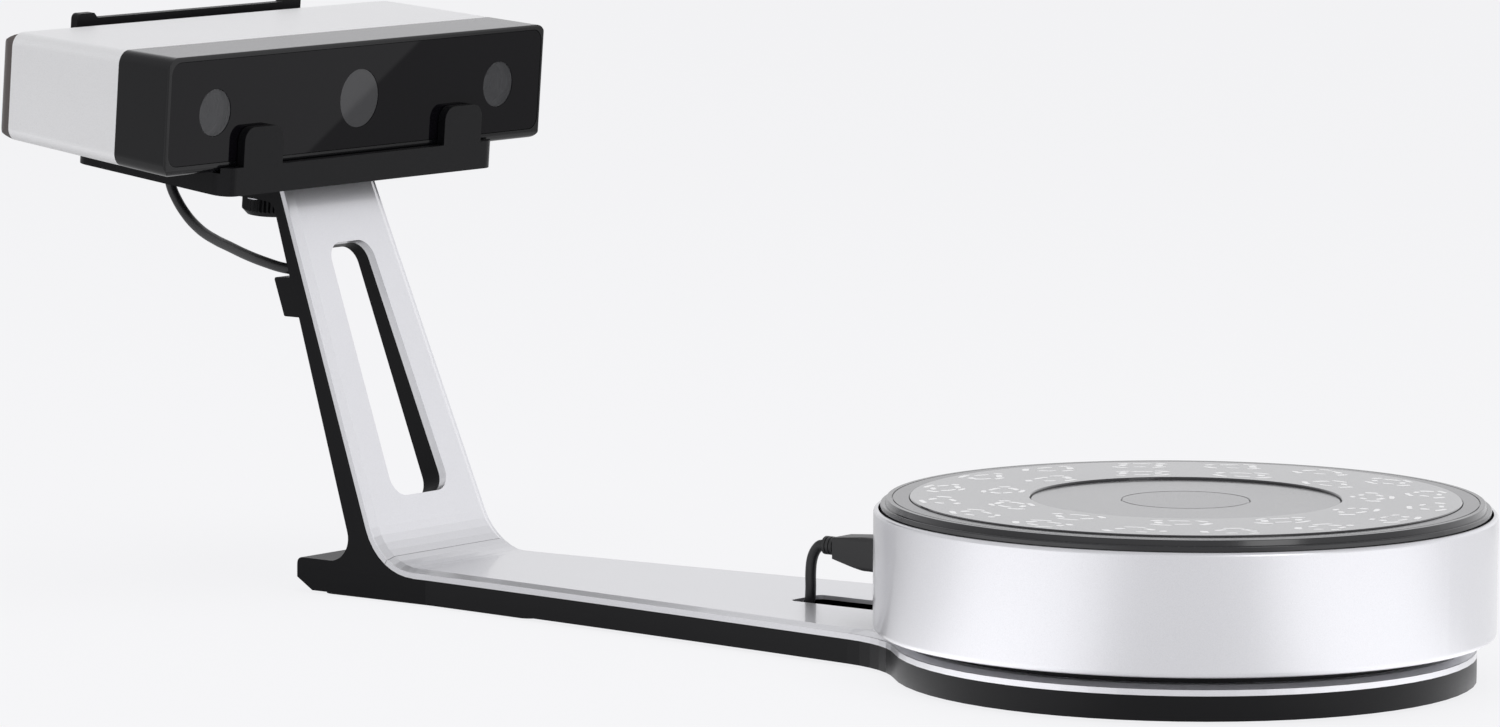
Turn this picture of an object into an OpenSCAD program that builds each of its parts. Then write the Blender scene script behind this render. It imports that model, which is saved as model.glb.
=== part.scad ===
// Desktop three-d scanner: a scan head on a leaning upright, a low arm and a motor turntable.
// Lengths are in millimetres. Every piece is drawn with the turntable's axis at x = 0 and the
// head towards -x, and placed() then moves it so that the whole stands centred on the origin.

/* [Turntable] */
// Outer radius of the silver drum
drum_r = 104; // [101:0.5:108]
// Height of the drum's wall
drum_h = 40.8; // [40.6:0.2:50]
// Distance between the drum's side and the dark neck under it
neck_in = 14; // [12:0.5:16]

/* [Turntable drive] */
// Radius of the platter's shaft
shaft_r = 6; // [5:0.25:7]
// Tooth module of the gears
tooth_module = 1; // [0.9:0.05:1.05]
// Teeth on the drive gear
gear_teeth = 72; // [70:1:76]
// Teeth on the motor pinion
pinion_teeth = 18; // [17:1:20]
// Side of the square motor
motor_w = 42; // [40:0.5:43]

/* [Stand] */
// Height of the dark lower shell of the arm and base
tray_h = 8.3; // [7.5:0.1:11]
// Thickness of the silver covers
cover_t = 3.2; // [2.8:0.1:4]
// Distance between the drum's side and the round base's
base_in = 6.5; // [5:0.5:8]
// Half width of the upright at its foot
upright_half = 34; // [33:0.2:35]
// Distance from the turntable's axis to the foot of the upright's front
upright_reach = 318.4; // [316:0.2:320]
// Lean of the upright's front from the vertical
upright_lean = 21.4; // [20.6:0.1:21.8]
// Lean of the upright's rear from the vertical
rear_lean = 19.4; // [19:0.1:19.8]
// Radius of the bend between the arm and the upright
bend_r = 24; // [20:0.5:27]

/* [Head] */
// Distance from the turntable's axis to the head's front
head_reach = 357.7; // [356:0.1:360]
// Height of the middle of the head's front
head_z = 175.3; // [173:0.1:180]
// Nose-down tilt of the head
head_tilt = 4.2; // [3.4:0.1:5]
// Half width of the head
head_half = 104.6; // [103:0.2:108]
// Half height of the head's front
head_up = 20; // [19.6:0.1:22]
// Depth of the dark front frame
bezel_depth = 23.3; // [21:0.1:26]
// Depth of the silver sleeve
shell_depth = 50.1; // [48:0.1:54]
// Distance between the head's side and each camera
camera_in = 25.9; // [24.6:0.1:30]

/* [Cradle] */
// Half width of the cradle
cradle_half = 75.5; // [72:0.5:80]
// Height of the hooks over the cradle's lip
hook_h = 14; // [11:0.5:17]
// Radius of the clamp screw's knob
knob_r = 9.5; // [8:0.25:11]
// Radius of the clamp screw's stud
stud_r = 3.1; // [2.5:0.05:3.5]

/* [Lead] */
// Diameter of the lead
lead_d = 3.8; // [3:0.1:4]

/* [Hidden] */

// Facets of round pieces
$fn = 96;
// Overrun of every cut past the face that it opens
over = 1;
// Gap between pieces that are put together and taken apart
fit_gap = 0.3;
// Gap between a round piece and its seat
seat_gap = 0.05;
// Radial clearance of a shaft that turns
running_gap = 0.06;
// Turn of one step on a rounded corner, in degrees
arc_step = 9;

// Colours
silver = "#c9c9cd";
pale_silver = "#dcdcde";
dark = "#1d1d20";
satin_dark = "#2a2a2d";
glass_dark = "#26252a";
rubber = "#19191a";
steel = "#9a9da1";
brass = "#b79a54";
board_green = "#2f5d3f";
nylon = "#e6e2d4";
lens_tint = "#3c4450";

// Sizes with no control of their own
neck_h = 3.4;
rim_in = 4.1;
rim_r = drum_r - rim_in;
base_r = drum_r - base_in;
neck_r = drum_r - neck_in;
camera_pitch = head_half - camera_in;
arm_waist_half = 40.2;
slot_len = 94.6;
slot_half = 17.5;
drum_wall = 1.6;
seam_reach = 300;
camera_window_r = 8.4;
projector_window_r = 10.6;
arm_fillet_r = 48;
dish_depth = 1.5;
dish_in = 7.8;
dish_r = rim_r - dish_in;
marker_t = 2;
mat_t = 1.2;
platter_t = 4;
cover_skin = 1.5;
slot_taper = 0.045;
slot_start = 36.2;
wall = 2;
head_wall = 2;
rear_depth = 6.1;
hook_in = 45;
hook_w = 21;
rear_wall_half = 61.6;
gear_t = 5;
motor_h = 21;
foot_t = 1.2;
cap_r = 21.3;
plate_w = 40.2;
mat_hole_r = dish_r - plate_w;
arm_front_half = 50;
cradle_drop = 30.4;
hook_t = 3.2;
upright_taper = 0.062;
knob_h = 8.2;

// Heights of the stand and the drum, from the table up
seam_z = foot_t + tray_h;
floor_z = foot_t + wall;
deck_z = seam_z + cover_t;
drum_z = deck_z + neck_h;
drum_top_z = drum_z + drum_h;

// Drum and chassis
flange_t = 2;
flange_lap = 3;
neck_w = 8;
chassis_floor_t = 2.5;
drum_foot_r = 2;
drum_lip_r = 1.2;
chassis_z = drum_z + flange_t;
floor_top_z = chassis_z + chassis_floor_t;
drum_in_r = drum_r - drum_wall;
neck_in_r = neck_r - neck_w;
neck_mid_r = neck_r - neck_w / 2;
flange_r = neck_r - flange_lap;

// Platter
ledge_rise = 1.8;
rim_rise = 1.8;
skirt_gap = 0.7;
skirt_w = 3.2;
skirt_drop = 4.5;
rim_slope = 0.3;
ledge_round = 0.4;
groove_in = 2.4;
groove_r = rim_r - groove_in;
groove_w = 0.4;
groove_depth = 0.6;
boss_r = 28;
boss_h = 3.8;
ledge_z = drum_top_z + ledge_rise;
rim_z = ledge_z + rim_rise;
dish_z = rim_z - dish_depth;
plate_z = dish_z - platter_t;
skirt_r = drum_in_r - skirt_gap;
shaft_seat = 2;
disc_chamfer = 0.3;
disc_gap = 0.2;

// Drive, from the platter down
gear_top_z = plate_z - boss_h;
gear_z = gear_top_z - gear_t;
gear_clear = 2.2;
bracket_t = 2;
bracket_top_z = gear_z - gear_clear;
bracket_z = bracket_top_z - bracket_t;
motor_z = bracket_z - motor_h;
gear_pitch_r = tooth_module * gear_teeth / 2;
pinion_pitch_r = tooth_module * pinion_teeth / 2;
gear_centre = gear_pitch_r + pinion_pitch_r;
tooth_play = 0.16;
pressure_angle = 20;
addendum_share = 1;
dedendum_share = 1.25;
flank_steps = 3;
web_in_r = 14;
web_out_r = 31;
web_depth = 2;
hub_wall = 4;
bush_wall = 2.9;
bush_flange_w = 3;
bush_flange_t = 1.4;
bush_len = 10;
thrust_gap = 0.3;
clip_t = 1.2;
clip_w = 2;
clip_drop = 0.5;
shaft_tail = 3;
hub_screw_circle = 20;
hub_screw_count = 3;
bush_r = shaft_r + bush_wall;
chassis_hub_r = bush_r + hub_wall;
gear_hub_r = bush_r + bush_flange_w;

// Motor
motor_shaft_r = 2.5;
motor_pilot_r = 11;
motor_screw_pitch = 31;
motor_corner = 4;
post_r = 2.8;
post_gap = 0.9;
bracket_margin = 4.2;
bracket_round = 3;
shaft_over = 0.8;

// Screws
screw_r = 1.5;
screw_head_r = 2.75;
screw_head_t = 1.2;
screw_play = 0.2;
screw_bite = 6;
chassis_screw_turns = [45, 135, 225, 315];
boss_wall = 1.8;

// Turntable board and its socket
board_t = 1.6;
board_lift = 3.4;
table_board_l = 32;
table_board_w = 40;
table_board_in = 40;
table_board_start = drum_r - table_board_in;
board_post_r = 2.5;
board_post_inset = 4;
chip_l = 9;
chip_w = 12;
chip_h = 2.2;
chip_pitch = 13;
socket_w = 12;
socket_h = 10.8;
socket_l = 15.5;
nose_w = 8.4;
nose_h = 7.8;
nose_l = 11;
socket_gap = 0.6;

// Arm and base
waist_steps = 6;
fillet_steps = 6;
base_steps = 24;
edge_h = 2;
edge_ledge = 0.8;
wedge_back = 3;
neck_skin = 0.4;
bevel_in = 3.6;
cover_side = 3;
cover_seam = 0.2;
cover_joint_turn = 33;
bend_steps = 4;
bend_gap = 0.1;
ring_lap = 6;
ring_hole_r = neck_in_r - ring_lap;
window_half = 9;
window_start = 158.2;
window_end = 98;
window_round = 3;
base_foot_r = 9;
base_foot_in = 15.5;
base_foot_circle = base_r - base_foot_in;
base_foot_count = 3;
pad_start = 351;
pad_end = 252;
pad_inset = 3.5;
pad_round = 5;
pad_steps = 4;
arm_screws_x = [272, 214];
arm_screw_y = 20;
arm_boss_top = 2.2;
inner_share = 0.75;

// Spine plate
spine_t = 2;
spine_half = 26;
spine_start = 322;
spine_end = 118;
spine_round = 6;
spine_screws_x = [314, 290];
spine_screw_y = 14;

// Upright
rear_reach = 328.4;
foot_reach = 359.2;
foot_top = 12.6;
foot_cut_z = 5.5;
foot_cut_l = 7;
foot_rear_round = 2;
foot_fillet = 8;
upright_top = 175;
cavity_side = 2.4;
cavity_margin = 4;
slot_round = 7;
slot_wall = 1.8;
slot_lip = 1.4;
slot_depth = 16;
bracket_back = 51.6;
bracket_drop = 38.6;
bracket_fillet = 5;
bracket_end_round = 1.5;
bracket_gap = 0.2;
upright_screw_y = 10;
upright_screw_low = 30.6;
upright_screw_high = 137.6;
upright_boss_r = 3.2;

// Lead's way into the upright, and the guide under it
lead_y = 20;
lead_entry_z = 113.6;
lead_hole_gap = 0.3;
lead_hole_drop = 4.2;
lead_hole_l = 6;
guide_y0 = 25.5;
guide_y1 = 14;
guide_z0 = 97.4;
guide_z1 = 111.2;
guide_depth = 9;
guide_round = 0.8;
guide_foot_l = 5;
guide_foot_depth = 1;

// Head
head_low_front = 22.2;
head_low_rise = 0.05;
head_corner = 5;
nose_round = 1.2;
nose_top_round = 0.7;
nose_low_round = 2.6;
glass_in = 2;
glass_half = head_half - glass_in;
glass_up = 18.1;
glass_low = 18.4;
glass_t = 2.2;
glass_round = 4.5;
glass_gap = 0.2;
glass_set = 0.15;
bezel_plate_t = 2;
bezel_open_in = 13.1;
bezel_open_half = head_half - bezel_open_in;
bezel_open_up = 15.4;
bezel_lip = 3;
window_z = -0.65;
window_t = 1.4;
window_set = 0.2;
window_gap = 0.1;

// Optics
bench_front = 11;
bench_t = 3;
bench_in = 3.6;
bench_half = head_half - bench_in;
bench_up = 14;
bench_round = 3;
bench_screw_in = 3.8;
bench_screw_y = bench_half - bench_screw_in;
bench_screw_z = 9;
bench_boss_r = 3.6;
barrel_r = 7.5;
barrel_front = 4.6;
barrel_bore_r = 5.4;
barrel_bore_l = 4;
camera_w = 22;
camera_body_l = 12;
camera_board_w = 26;
projector_barrel_r = 9.6;
projector_bore_r = 7.6;
projector_half = 20;
projector_low = 10.2;
projector_high = 13.6;
projector_l = 19;
lens_t = 1.6;
lens_set = 1.2;
lens_gap = 0.1;
lens_steps = 4;
sink_base_t = 2;
sink_l = 12;
sink_fins = 8;
sink_fin_t = 1.2;

// Main board, sockets, fan and rear cover
board_x = 61;
board_in = 9.2;
board_left = head_half - board_in;
board_right = 59;
board_low = 12.8;
board_high = 14.6;
rear_round = 9;
rear_corner = 5;
rear_post_r = 3;
rear_posts = [[-55, -8], [-55, 10], [52, -8], [52, 10]];
plug_z = -8.5;
plug_nose_w = 8.4;
plug_nose_h = 7;
head_socket_half = 6;
head_socket_h = 9;
power_in = 34.6;
power_y = power_in - head_half;
power_r = 4.2;
power_hole_r = 2.8;
power_pin_r = 1;
data_in = 22.1;
data_y = data_in - head_half;
data_w = 10;
data_h = 9;
port_z = 0;
port_wall = 1;
port_depth = 9;
port_gap = 1.2;
fan_in = 24.6;
fan_y = head_half - fan_in;
fan_z = 0.7;
fan_w = 29;
fan_t = 8;
fan_front = 66.6;
fan_bore_r = 13.2;
fan_blade_r = 12.4;
fan_hub_r = 5.5;
fan_strut_w = 2;
fan_strut_t = 1.4;
fan_blades = 7;
fan_blade_t = 0.9;
fan_blade_turn = 35;
fan_pin_r = 1;
fan_corner = 3;
fan_post_r = 1.8;
fan_post_at = (fan_w - fan_corner) / 2;
fan_gap = 0.4;
grille_w = 1.6;
grille_pitch = 3.6;
grille_count = 7;
button_in = 12;
button_y = button_in - head_half;
button_z = 0;
button_r = 3.4;
button_stem_r = 1.4;
button_out = 0.8;
button_flange_w = 0.8;
button_flange_t = 1;
button_gap = 0.2;
switch_w = 5;
switch_t = 3;
shell_boss_r = 3.6;
shell_boss_in = 5.2;
shell_boss_y = head_half - shell_boss_in;
shell_boss_z = 7;
shell_boss_l = 14;
button_travel = 0.6;

// Tripod insert in the head's underside
insert_x = 40;
insert_r = 5.6;
insert_l = 9;
insert_boss_r = 8;
insert_boss_l = 9.6;
stud_gap = 0.08;
stud_short = 1.4;

// Cradle
cradle_gap = 0.3;
cradle_rise = 0.045;
cradle_lip = 20.5;
cradle_front_round = 6;
cradle_side_back = 68;
tongue_half = 62;
rear_gap = 2.1;
rear_wall_t = 3;
rear_wall_up = 21.3;
rear_bump_w = 9;
rear_bump_h = 1.9;
rear_window_half = 28;
rear_window_up = 9;
rear_window_low = 20.2;
hook_round = 5;
rail_y = [36, 57];
rail_t = 2.4;
rail_front = 8;
rail_back = 62;
pad_t = 1;
cradle_boss_r = 8;
cradle_screw_x = [31, 46];
cradle_screw_y = 18;
cradle_boss_h = 3.6;
rear_pad_w = 10;
rear_pad_h = 16;
rear_pad_y = 46;
knurl_count = 36;
knurl_depth = 0.5;
knob_chamfer = 1;
washer_r = 7;
washer_t = 1.2;
washer_gap = 0.05;

// Plugs
plug_front = 0.4;
plug_half = 5;
plug_top = 3.4;
plug_bottom = 19.5;
plug_back = 92.6;
plug_round = 1.5;
relief_x = 88.3;
relief_end = 30.9;
relief_top_r = 3.1;
relief_low_r = 2.5;
table_plug_end = 0.3;
table_plug_l = 38;
table_plug_half = 5.6;
table_plug_top = 36.7;
table_plug_low = 24.9;
table_plug_neck_low = 28.2;
table_plug_neck_top = 35.6;
table_plug_neck_l = 13;
table_plug_round = 1.6;
table_relief_l = 7.4;
table_relief_z = 31.8;
table_relief_r = 3.2;
table_relief_core_r = 2.4;
table_relief_ribs = 4;
table_rib_t = 1.2;

// Points on the free stretch of the lead between the head and the upright
HEAD_LEAD = [
  [-448, 0, 150.8], [-448.5, 0, 144], [-447.5, 0, 138], [-444, 0, 132], [-439, -0.5, 127],
  [-431.5, -2.5, 123], [-420, -6.5, 120], [-410.5, -10, 118.5], [-401, -13.5, 117], [-387, -18, 115.2],
  [-377, -19.8, 114], [-369, -20, 113.6]
];
// Points on the lead inside the upright, the bend and the arm
STAND_LEAD = [
  [-368.9, -20, 113.6], [-367.5, -20, 113.5], [-365.6, -20, 112.9], [-363.8, -20, 111.4], [-362.6, -20, 109],
  [-361.4, -20, 106], [-354, -20, 86.5], [-346, -20, 65], [-338, -20, 44], [-332.5, -20, 29.5],
  [-328.5, -20, 20.5], [-325, -19.8, 14.2], [-320, -19.4, 10], [-313.5, -18.8, 8], [-306, -18, 7.2],
  [-285, -15, 7.2], [-263, -10.5, 7.2], [-240, -5.5, 7.2], [-216, -2, 7.2], [-195, -0.5, 7.2],
  [-180, 0, 7.2], [-172, 0, 7.2]
];
// Points on the lead that rises from the arm to the turntable's plug
TABLE_LEAD = [
  [-172, 0, 7.2], [-163, 0, 7.2], [-159.6, 0, 7.7], [-157.2, 0, 9.2], [-155.9, 0, 11.6], [-155.5, 0, 15],
  [-155.5, 0, 22], [-155.2, 0, 25.2], [-154.4, 0, 28], [-153, 0, 30.2], [-151.4, 0, 31.5], [-150, 0, 31.7]
];
lead_sides = 8;

// Places that follow from the sizes above
bend_turn = 90 - upright_lean;
bend_corner_x = front_x(seam_z);
bend_x = bend_corner_x + bend_r * tan(bend_turn / 2);
arm_back_half = half_at(seam_z);
head_back = bezel_depth + shell_depth + rear_depth;
shell_back = bezel_depth + shell_depth;
cradle_back = head_back + rear_gap + rear_wall_t;
cradle_front = cradle_gap + hook_t;
hook_face = cradle_gap;
lip_z = -cradle_lip;
left_x = min([for (p = cradle_side()) head_place(p)[0]]);
axis_x = -(drum_r + left_x) / 2;

function half_at(z) = upright_half - upright_taper * z;

function front_x(z) = -upright_reach - z * tan(upright_lean);
function rear_x(z) = -rear_reach - z * tan(rear_lean);

// Underside of the head and of the cradle at a distance behind the head's front, in the head's own frame
function head_low(x) = -head_low_front - head_low_rise * x;
function cradle_low(x) = -cradle_drop - cradle_rise * x;

// A point of the head's own frame, as [x, z] in the stand's frame
function head_place(p) = [
  -head_reach + p[0] * cos(head_tilt) + p[1] * sin(head_tilt),
  head_z - p[0] * sin(head_tilt) + p[1] * cos(head_tilt)
];

// Side outline of the cradle's lower body, in the head's frame
function cradle_side() = [
  [cradle_front, cradle_low(cradle_front)], [cradle_front, lip_z],
  [-cradle_back, lip_z], [-cradle_back, cradle_low(-cradle_back)]
];

// Point where two lines meet, each given by a point and a direction
function meet(p, u, q, v) =
  p + u * (((q - p)[0] * v[1] - (q - p)[1] * v[0]) / (u[0] * v[1] - u[1] * v[0]));

function unit(v) = v / norm(v);

// Corner p of an outline, between a and b, drawn as an arc of radius r
function corner(a, p, b, r) =
  r <= 0 ? [p] :
  let (u = unit(a - p),
    v = unit(b - p),
    half_turn = acos(u * v) / 2,
    start = p + u * (r / tan(half_turn)),
    centre = p + unit(u + v) * (r / sin(half_turn)),
    end = p + v * (r / tan(half_turn)),
    from = atan2(start[1] - centre[1], start[0] - centre[0]),
    raw = atan2(end[1] - centre[1], end[0] - centre[0]) - from,
    turn = raw > 180 ? raw - 360 : (raw < -180 ? raw + 360 : raw),
    steps = max(2, ceil(abs(turn) / arc_step)))
  [for (i = [0:steps]) centre + r * [cos(from + turn * i / steps), sin(from + turn * i / steps)]];

// Outline through points, with one radius for each
function rounded(points, radii) =
  let (n = len(points))
  [for (i = [0:n - 1]) each corner(points[(i + n - 1) % n], points[i], points[(i + 1) % n], radii[i])];

function rounded_box(x0, x1, y0, y1, r) =
  rounded([[x0, y0], [x1, y0], [x1, y1], [x0, y1]], [r, r, r, r]);

// Half width of the arm along its length, a curve with one control width
function arm_curve(t) =
  arm_back_half * pow(1 - t, 2) + 2 * arm_waist_half * t * (1 - t) + arm_front_half * pow(t, 2);

// End of the curved side, where a straight line of the same slope leads to the fillet
arm_front_reach = 110;
arm_slope = atan(2 * (arm_front_half - arm_waist_half) / (seam_reach - arm_front_reach));
arm_dir = [cos(arm_slope), sin(arm_slope)];
arm_normal = [-sin(arm_slope), cos(arm_slope)];
fillet_from = [-arm_front_reach, arm_front_half] + arm_fillet_r * arm_normal;
fillet_along = fillet_from * arm_dir;
fillet_run = -fillet_along
  - sqrt(pow(fillet_along, 2) - fillet_from * fillet_from + pow(base_r + arm_fillet_r, 2));
fillet_centre = fillet_from + fillet_run * arm_dir;
fillet_end_turn = atan2(fillet_centre[1], fillet_centre[0]);
fillet_start_angle = arm_slope - 90;
fillet_stop_angle = fillet_end_turn - 180;

// One side of the arm and base, from the head's end to the far side of the turntable
function arm_side(start, inset) = concat(
  start < -seam_reach ? [[start, arm_back_half - inset]] : [],
  [for (i = [0:waist_steps])
    let (t = i / waist_steps)
    [-seam_reach + t * (seam_reach - arm_front_reach), arm_curve(t) - inset]],
  [for (i = [0:fillet_steps])
    let (a = fillet_start_angle + (fillet_stop_angle - fillet_start_angle) * i / fillet_steps)
    fillet_centre + (arm_fillet_r + inset) * [cos(a), sin(a)]],
  [for (i = [1:base_steps - 1])
    let (a = fillet_end_turn * (1 - i / base_steps))
    (base_r - inset) * [cos(a), sin(a)]]
);

// Plan of the arm and base, drawn in by inset
function arm_plan(start, inset) =
  let (side = arm_side(start, inset), n = len(side))
  concat(side, [[base_r - inset, 0]], [for (i = [n - 1:-1:0]) [side[i][0], -side[i][1]]]);

// Slot outline on the upright, grown by a margin, as [y, distance along the upright]
function slot_side(along) = slot_half - slot_taper * along;
function slot_plan(grow) =
  let (u0 = slot_start - grow, u1 = slot_start + slot_len + grow, r = slot_round + grow)
  rounded([[-slot_side(u0) - grow, u0], [slot_side(u0) + grow, u0],
      [slot_side(u1) + grow, u1], [-slot_side(u1) - grow, u1]], [r, r, r, r]);

// Convex slices of the silver cover: its edge, its bevelled top and the hollow under it, each as the
// inset and height of its lower side and the inset and height of its upper side
cover_slices = [[0, bend_gap, 0, edge_h], [edge_ledge, edge_h, bevel_in, cover_t]];
hollow_slice = [cover_side, -over, cover_side, cover_t - cover_skin];

// Ring of a slice at a station, which is a place of the dark moulding and its outward normal, as [x, z]
function cover_ring(station, slice) =
  let (p = station[0], n = station[1], half = half_at(p[1]), low = half - slice[0], top = half - slice[2])
  [for (q = [[-low, slice[1]], [-top, slice[3]], [top, slice[3]], [low, slice[1]]])
    [p[0] + n[0] * q[1], q[0], p[1] + n[1] * q[1]]];

// Station in the bend, after a turn from the arm
function bend_station(turn) = [
  [bend_x - bend_r * sin(turn), seam_z + bend_r - bend_r * cos(turn)], [sin(turn), cos(turn)]];

// Station moved along the moulding, towards the head when positive
function moved(station, run) = [station[0] + run * [-station[1][1], station[1][0]], station[1]];

// Solid between rings of equal numbers of points, closed by its first and last ring
module lofted(rings) {
  n = len(rings[0]);
  m = len(rings);
  sides = [for (j = [0:m - 2], i = [0:n - 1])
    [j * n + i, (j + 1) * n + i, (j + 1) * n + (i + 1) % n, j * n + (i + 1) % n]];
  polyhedron([for (ring = rings) each ring],
    concat([[for (i = [0:n - 1]) i]], sides, [[for (i = [n - 1:-1:0]) (m - 1) * n + i]]));
}

// Silver cover through stations, hollow underneath
module cover_strip(stations) {
  last = len(stations) - 1;
  difference() {
    for (slice = cover_slices) lofted([for (q = stations) cover_ring(q, slice)]);
    lofted([for (q = concat([moved(stations[0], -over)], stations, [moved(stations[last], over)]))
      cover_ring(q, hollow_slice)]);
  }
}

// Everything is moved so that the stand is centred on the origin
module placed() {
  translate([axis_x, 0, 0]) children();
}

// The head's own frame: x out of its front, z up its front, origin in the middle of the front
module at_head() {
  placed() translate([-head_reach, 0, head_z]) rotate([0, head_tilt, 0]) children();
}

module across(points, half) {
  translate([0, half, 0]) rotate([90, 0, 0]) linear_extrude(2 * half) polygon(points);
}

module along(points, x0, x1) {
  translate([x0, 0, 0]) rotate([90, 0, 90]) linear_extrude(x1 - x0) polygon(points);
}

module at_corners(y, z) {
  for (sy = [-1, 1], sz = [-1, 1]) translate([0, sy * y, sz * z]) children();
}

module block(a, b) {
  translate(a) cube(b - a);
}

module rod(r, x0, x1) {
  translate([x0, 0, 0]) rotate([0, 90, 0]) cylinder(h = x1 - x0, r = r);
}

// Drawing on the upright's dark front: x across, y up the upright, z out of it
module on_upright() {
  translate([-upright_reach, 0, 0]) rotate([0, -upright_lean, 0]) rotate([90, 0, 90]) children();
}

// Screw along z whose head sits on z = 0 and points down, with its shank going up
module screw(length) {
  translate([0, 0, -screw_head_t]) cylinder(h = screw_head_t, r = screw_head_r);
  translate([0, 0, -screw_head_t / 2]) cylinder(h = length + screw_head_t / 2, r = screw_r);
}

// Round tube swept along points, with a ring at each
module tube(points, r) {
  n = len(points);
  lofted([for (i = [0:n - 1])
    let (ahead = unit(points[min(i + 1, n - 1)] - points[max(i - 1, 0)]),
      side = unit(cross(ahead, [0, 1, 0])),
      up = cross(ahead, side))
    [for (k = [0:lead_sides - 1])
      let (a = 360 * (k + 1 / 2) / lead_sides)
      points[i] + r * (side * cos(a) + up * sin(a))]]);
}

// Involute of a pressure angle, in degrees
function involute(a) = tan(a) * 180 / PI - a;

function gear_plan(teeth, turn) =
  let (pitch = tooth_module * teeth / 2,
    base = pitch * cos(pressure_angle),
    tip = pitch + addendum_share * tooth_module,
    root = pitch - dedendum_share * tooth_module,
    low = max(base, root),
    half_pitch = 90 / teeth - tooth_play / pitch * 90 / PI + involute(pressure_angle),
    flank = [for (i = [0:flank_steps])
      let (r = low + (tip - low) * i / flank_steps)
      [r, half_pitch - involute(acos(base / r))]],
    rise = concat([[root, flank[0][1]]], flank))
  [for (k = [0:teeth - 1])
    each concat(
      [for (q = rise) q[0] * [cos(turn + 360 * k / teeth - q[1]), sin(turn + 360 * k / teeth - q[1])]],
      [for (i = [len(rise) - 1:-1:0])
        let (q = rise[i])
        q[0] * [cos(turn + 360 * k / teeth + q[1]), sin(turn + 360 * k / teeth + q[1])]])];

// Places of the chassis screws, through the tray and the cover into the chassis
module at_chassis_screws() {
  for (a = chassis_screw_turns) rotate([0, 0, a]) translate([neck_mid_r, 0, 0]) children();
}

module at_arm_screws() {
  for (x = arm_screws_x, s = [-1, 1]) translate([-x, s * arm_screw_y, 0]) children();
}

module at_spine_screws(x) {
  for (s = [-1, 1]) translate([-x, s * spine_screw_y, 0]) children();
}

// Places of the screws that hold the upright's cover, on the upright's dark front
module at_upright_screws() {
  side = [upright_screw_y, upright_screw_low];
  for (p = [side, [-side[0], side[1]], [0, upright_screw_high]]) {
    $along = p[1];
    translate([p[0], p[1], 0]) children();
  }
}

// Depth of the upright's moulding at a distance along its front
function upright_depth(along) =
  let (p = [-upright_reach - along * sin(upright_lean), along * cos(upright_lean)],
    q = meet(p, [cos(upright_lean), sin(upright_lean)], [rear_x(0), 0], [-tan(rear_lean), 1]))
  norm(p - q);

module base_tray() {
  boss_r = screw_head_r + screw_play + boss_wall;
  color(dark) placed() difference() {
    union() {
      difference() {
        translate([0, 0, foot_t]) linear_extrude(tray_h) polygon(arm_plan(-seam_reach, 0));
        translate([0, 0, floor_z]) linear_extrude(tray_h)
          polygon(arm_plan(-seam_reach - over, wall));
      }
      at_chassis_screws() cylinder_from(boss_r, floor_z - over / 2, deck_z - cover_skin);
      at_arm_screws() cylinder_from(boss_r, floor_z - over / 2, seam_z - arm_boss_top);
    }
    at_chassis_screws() screw_way(deck_z);
    at_arm_screws() screw_way(deck_z);
    at_spine_screws(spine_screws_x[1]) screw_way_flush();
  }
}

module cylinder_from(r, z0, z1) {
  translate([0, 0, z0]) cylinder(h = z1 - z0, r = r);
}

// Way for a screw from below, with a pocket for its head
module screw_way(top) {
  cylinder_from(screw_head_r + screw_play, -over, floor_z + screw_head_t);
  cylinder_from(screw_r + screw_play, 0, top);
}

// Way for a screw whose head lies flush with the shell's underside
module screw_way_flush() {
  cylinder_from(screw_head_r + screw_play, -over, foot_t + screw_head_t);
  cylinder_from(screw_r + screw_play, 0, seam_z);
}

module base_feet() {
  color(rubber) placed()
    for (i = [0:base_foot_count - 1])
      rotate([0, 0, 360 * i / base_foot_count]) translate([base_foot_circle, 0, 0])
        cylinder(h = foot_t, r = base_foot_r);
}

module rear_foot_pad() {
  side = concat([[-pad_start, arm_back_half - pad_inset], [-seam_reach, arm_back_half - pad_inset]],
    [for (i = [1:pad_steps])
      let (x = -seam_reach + (seam_reach - pad_end) * i / pad_steps)
      [x, arm_curve((x + seam_reach) / (seam_reach - arm_front_reach)) - pad_inset]]);
  n = len(side);
  points = concat(side, [for (i = [n - 1:-1:0]) [side[i][0], -side[i][1]]]);
  radii = [for (i = [0:2 * n - 1]) i == 0 || i == n - 1 || i == n || i == 2 * n - 1 ? pad_round : 0];
  color(rubber) placed() linear_extrude(foot_t) polygon(rounded(points, radii));
}

module spine_plate() {
  color(steel) placed() difference() {
    translate([0, 0, floor_z]) linear_extrude(spine_t)
      polygon(rounded_box(-spine_start, -spine_end, -spine_half, spine_half, spine_round));
    for (x = spine_screws_x) at_spine_screws(x) cylinder_from(screw_r, 0, seam_z);
    at_arm_screws() cylinder_from(screw_head_r + screw_play + boss_wall + fit_gap, 0, seam_z);
  }
}

module spine_screws() {
  color(steel) placed() for (x = spine_screws_x) at_spine_screws(x)
    translate([0, 0, foot_t + screw_head_t]) screw(spine_t + wall - screw_head_t);
}

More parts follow.
